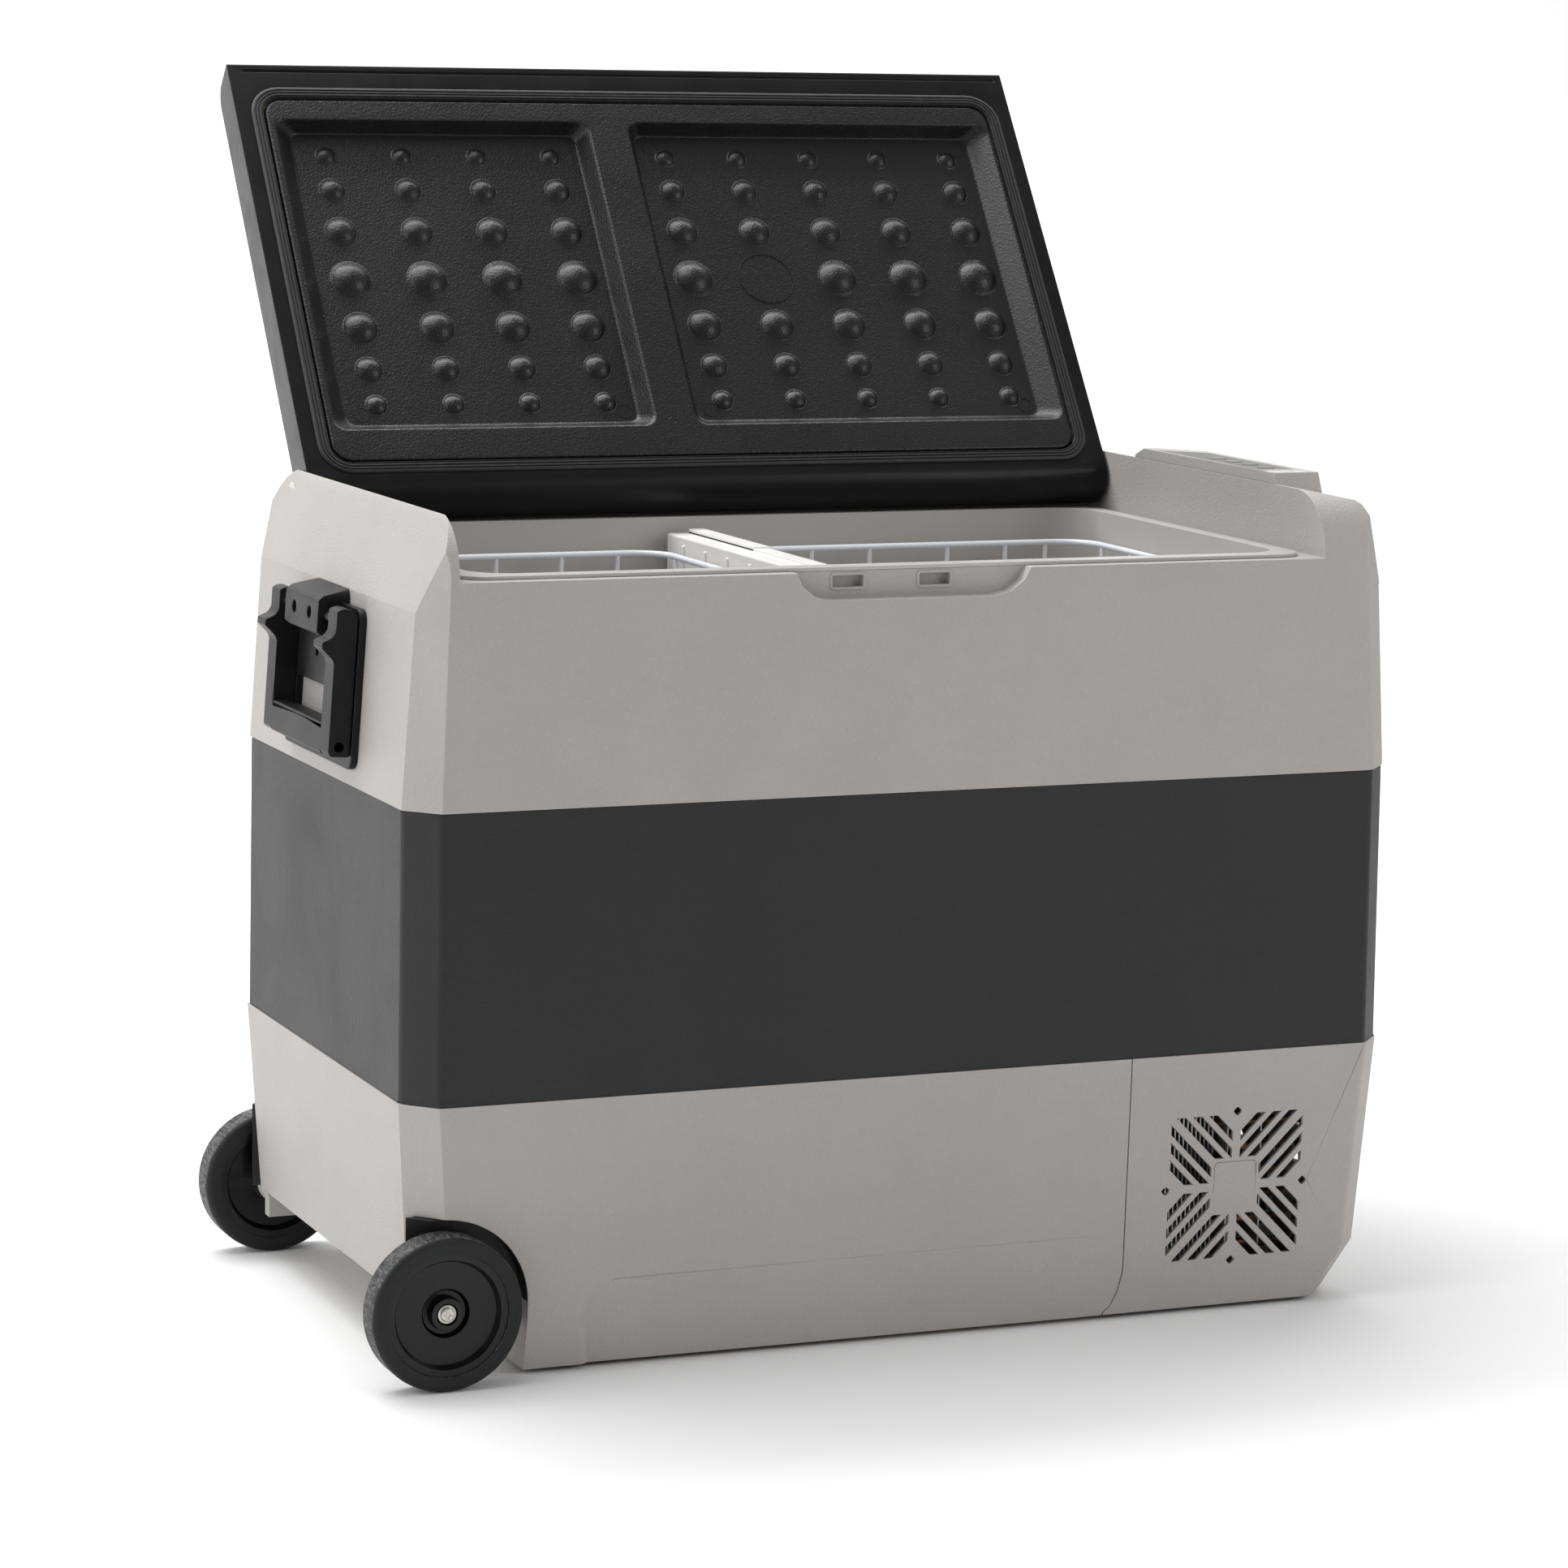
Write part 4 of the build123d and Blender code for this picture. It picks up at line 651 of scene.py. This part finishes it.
# ---- catch slots in the latch recess ----------------------------------------------------------
CATCH_X, CATCH_HALF_W, CATCH_Z = (-52.0, 5.5), 10.0, (474.0, 481.0)
CATCH_FACE_Y, CATCH_CORNER_R = -170.6, 0.6
CATCH_PROFILE = ((1.9, -0.6), (1.9, 0.2), (1.6, 0.7), (0.9, 0.9), (0.3, 0.75), (0.02, 0.2), (0.02, -0.6))


def catch_frames():
    """Rounded raised frames round the two slots that the latch hooks into."""
    bm = bmesh.new()
    for centre in CATCH_X:
        slot = (centre - CATCH_HALF_W, centre + CATCH_HALF_W)
        rings = []
        for out, proud in CATCH_PROFILE:
            flat = rounded(grown(slot, out), grown(CATCH_Z, out), CATCH_CORNER_R + out, 0, 4)
            rings.append([Vector((p.x, CATCH_FACE_Y - proud, p.y)) for p in flat])
        skin(bm, rings, loop=True)
    outward(bm)
    finished("catch_frames", bm, "upper_shell", 40)


# ---- divider ----------------------------------------------------------------------------------
RIB_PROUD, RIB_HALF_W, RIB_Z = 1.4, 2.0, (90, 472)
RIBS_Y = (-100, -62, -24, 14, 52, 90)
RIDGE_DROP, RIDGE_STEP, RIDGE_STEP_Y = 2.8, 1.6, 4


def slab(bm, x, y, z, r):
    """Box with its edges rounded to r."""
    spans = (x, y, z)
    place = Matrix.Translation([(low + high) / 2 for low, high in spans])
    size = Matrix.Diagonal([high - low for low, high in spans]).to_4x4()
    verts = bmesh.ops.create_cube(bm, size=1.0, matrix=place @ size)["verts"]
    edges = {edge for vertex in verts for edge in vertex.link_edges}
    bmesh.ops.bevel(bm, geom=list(edges), offset=r, offset_type="OFFSET", segments=3, profile=0.5,
                    affect="EDGES")


def tub_divider():
    """Hollow white plate with upright ribs and a stepped ridge along its top."""
    low, high = [Vector(corner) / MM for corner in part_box("divider")]
    x, y, top = (low.x + RIB_PROUD, high.x - RIB_PROUD), (low.y, high.y), high.z - RIDGE_DROP
    ridge_x = (x[0] + 14, x[1] - 1)
    bm = bmesh.new()
    slab(bm, x, y, (low.z, top), 1.5)
    slab(bm, ridge_x, (y[0] + 33, y[1] - 3), (top - 2, top + RIDGE_STEP), 0.7)
    slab(bm, ridge_x, (RIDGE_STEP_Y, y[1] - 3), (top - 2, high.z), 0.7)
    for at in RIBS_Y:
        slab(bm, (low.x, high.x), (at - RIB_HALF_W, at + RIB_HALF_W), RIB_Z, 1.2)
    piece = finished("tub_divider", bm, "divider", 50, weighted=True)
    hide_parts("divider")


# ---- wheel arches -----------------------------------------------------------------------------
ARCH_R, ARCH_WALL_Y, SKIN_GAP = 55.0, 161.0, 0.2
ARCH_RUN_X = (-316.0, -322.0, -327.0)               # where the arch runs on straight to the end chamfer
RIM_Y, CHAMFER_START_X, CHAMFER_START_Y, CHAMFER_SLOPE = 174.5, -312.5, 178.2, 1.079


def rim_y(x):
    """How far out the arch's skin reaches: just inside the front face, and then inside the chamfer."""
    return min(RIM_Y, CHAMFER_START_Y + CHAMFER_SLOPE * (x - CHAMFER_START_X))


def arch_liners_painted_shade():
    """Thin black skins inside the two wheel arches: a black liner that also paints the arches' deep shade."""
    low, high = [Vector(corner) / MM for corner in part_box("front_wheel_tyre")]
    centre = (low + high) / 2
    skin_r = ARCH_R - 0.25
    path = [(centre.x + skin_r * math.cos(a), centre.z + skin_r * math.sin(a))
            for a in (math.radians(90 * k / 20) for k in range(21))]
    path += [(x, centre.z + skin_r) for x in ARCH_RUN_X]
    bm = bmesh.new()
    for side in (-1, 1):
        wall_y = side * (ARCH_WALL_Y + SKIN_GAP)
        wall = [bm.verts.new((x, wall_y, z)) for x, z in path]
        rim = [bm.verts.new((x, side * rim_y(x), z)) for x, z in path]
        for k in range(len(path) - 1):
            bm.faces.new((wall[k], wall[k + 1], rim[k + 1], rim[k]))
        floor = [bm.verts.new((x, wall_y, centre.z + SKIN_GAP)) for x in (ARCH_RUN_X[-1], centre.x)]
        bm.faces.new(wall + floor)
    outward(bm)
    # These skins are black liner plastic and also painted shade for the cavity behind each wheel.
    finished("wheel_arch_liners_painted_shade", bm, "base_tray", 40)


# ---- everything -------------------------------------------------------------------------------
MATERIALS = make_materials()
for node_name, node_object in NODES.items():
    node_object.data.materials.clear()
    node_object.data.materials.append(MATERIALS[SLOTS[node_name]])

camera()

for shell in ("upper_shell", "mid_band", "lower_shell", "compressor_cover"):
    softened(shell, 0.45, wide_mm=2.6)
softened("console_housing", 0.4)
for node_name in ("lid_outer_shell", "inner_liner", "left_handle_base", "right_handle_base",
                  "left_handle_bail", "right_handle_bail", "latch_flap"):
    softened(node_name, 0.6)
tub_divider()
arch_liners_painted_shade()
for node_name in ("front_wheel_hub", "rear_wheel_hub", "front_wheel_screw", "rear_wheel_screw",
                  "socket_plate", "dc_socket", "mains_inlet", "front_axle_bracket", "rear_axle_bracket",
                  "lid_bumpers", "latch_bracket", "base_tray"):
    softened(node_name, 0.3)

lid_tray()
lid_seal()
basket("left_basket", LEFT_UPRIGHTS_X)
basket("right_basket", RIGHT_UPRIGHTS_X, RIGHT_STEP_X, RIGHT_STEP_RISE)
catch_frames()


# ---- studio -----------------------------------------------------------------------------------
WORLD_LIGHT, WORLD_SEEN = 0.30, 0.95
CENTRE = (0.0, 0.0, 0.3)
SOFTBOXES = (                                       # name, place, what it faces, size, power
    ("left_box", (-3.4, -0.2, 1.6), CENTRE, (2.4, 2.4), 40),
    ("front_box", (1.9, -2.1, 1.5), (0.25, 0.0, 0.3), (1.4, 1.4), 19),
    ("top_box", (-0.7, 0.5, 3.0), CENTRE, (2.6, 2.2), 62),
    ("backdrop_wash", (0.0, 1.6, 3.6), (0.0, 3.4, 0.4), (6.0, 1.6), 150))


def studio():
    """Pale paper that runs back along the floor and curves up behind."""
    half, front_y, back_y, curve, height, steps = 6.0, -8.0, 4.0, 1.5, 6.0, 12
    rows = [(front_y, 0.0), (back_y - curve, 0.0)]
    rows += [(back_y - curve + curve * math.sin(a), curve - curve * math.cos(a))
             for a in (math.radians(90 * k / steps) for k in range(1, steps + 1))]
    rows.append((back_y, height))
    bm = bmesh.new()
    pairs = [[bm.verts.new((x, y, z)) for x in (-half, half)] for y, z in rows]
    for (left, right), (next_left, next_right) in zip(pairs, pairs[1:]):
        bm.faces.new((left, right, next_right, next_left))
    mesh = bpy.data.meshes.new("studio_floor")
    bm.to_mesh(mesh)
    bm.free()
    mesh.shade_smooth()
    floor = bpy.data.objects.new("studio_floor", mesh)
    bpy.context.scene.collection.objects.link(floor)
    s = Surface("studio_paper", (0.93, 0.93, 0.93), 0.8)
    s.tint(s.ramp(s.noise(400, 2), 0.3, 0.8), (0.91, 0.91, 0.915), 0.5)
    mesh.materials.append(s.done())


def softbox(name, location, target, size, power):
    data = bpy.data.lights.new(name, "AREA")
    data.shape = "RECTANGLE"
    data.size, data.size_y = size
    data.energy = power
    lamp = bpy.data.objects.new(name, data)
    lamp.location = location
    lamp.rotation_euler = (Vector(target) - Vector(location)).to_track_quat("-Z", "Y").to_euler()
    bpy.context.scene.collection.objects.link(lamp)


def lighting():
    """A white world that looks brighter than it shines, and four soft lamps."""
    world = bpy.data.worlds.new("studio")
    world.use_nodes = True
    nodes, links = world.node_tree.nodes, world.node_tree.links
    seen = nodes.new("ShaderNodeMapRange")
    seen.inputs["To Min"].default_value = WORLD_LIGHT
    seen.inputs["To Max"].default_value = WORLD_SEEN
    links.new(nodes.new("ShaderNodeLightPath").outputs["Is Camera Ray"], seen.inputs["Value"])
    nodes["Background"].inputs["Color"].default_value = (1.0, 1.0, 1.0, 1.0)
    links.new(seen.outputs["Result"], nodes["Background"].inputs["Strength"])
    bpy.context.scene.world = world
    for box in SOFTBOXES:
        softbox(*box)
    view = bpy.context.scene.view_settings
    view.view_transform = "Standard"
    view.look = "None"


studio()
lighting()
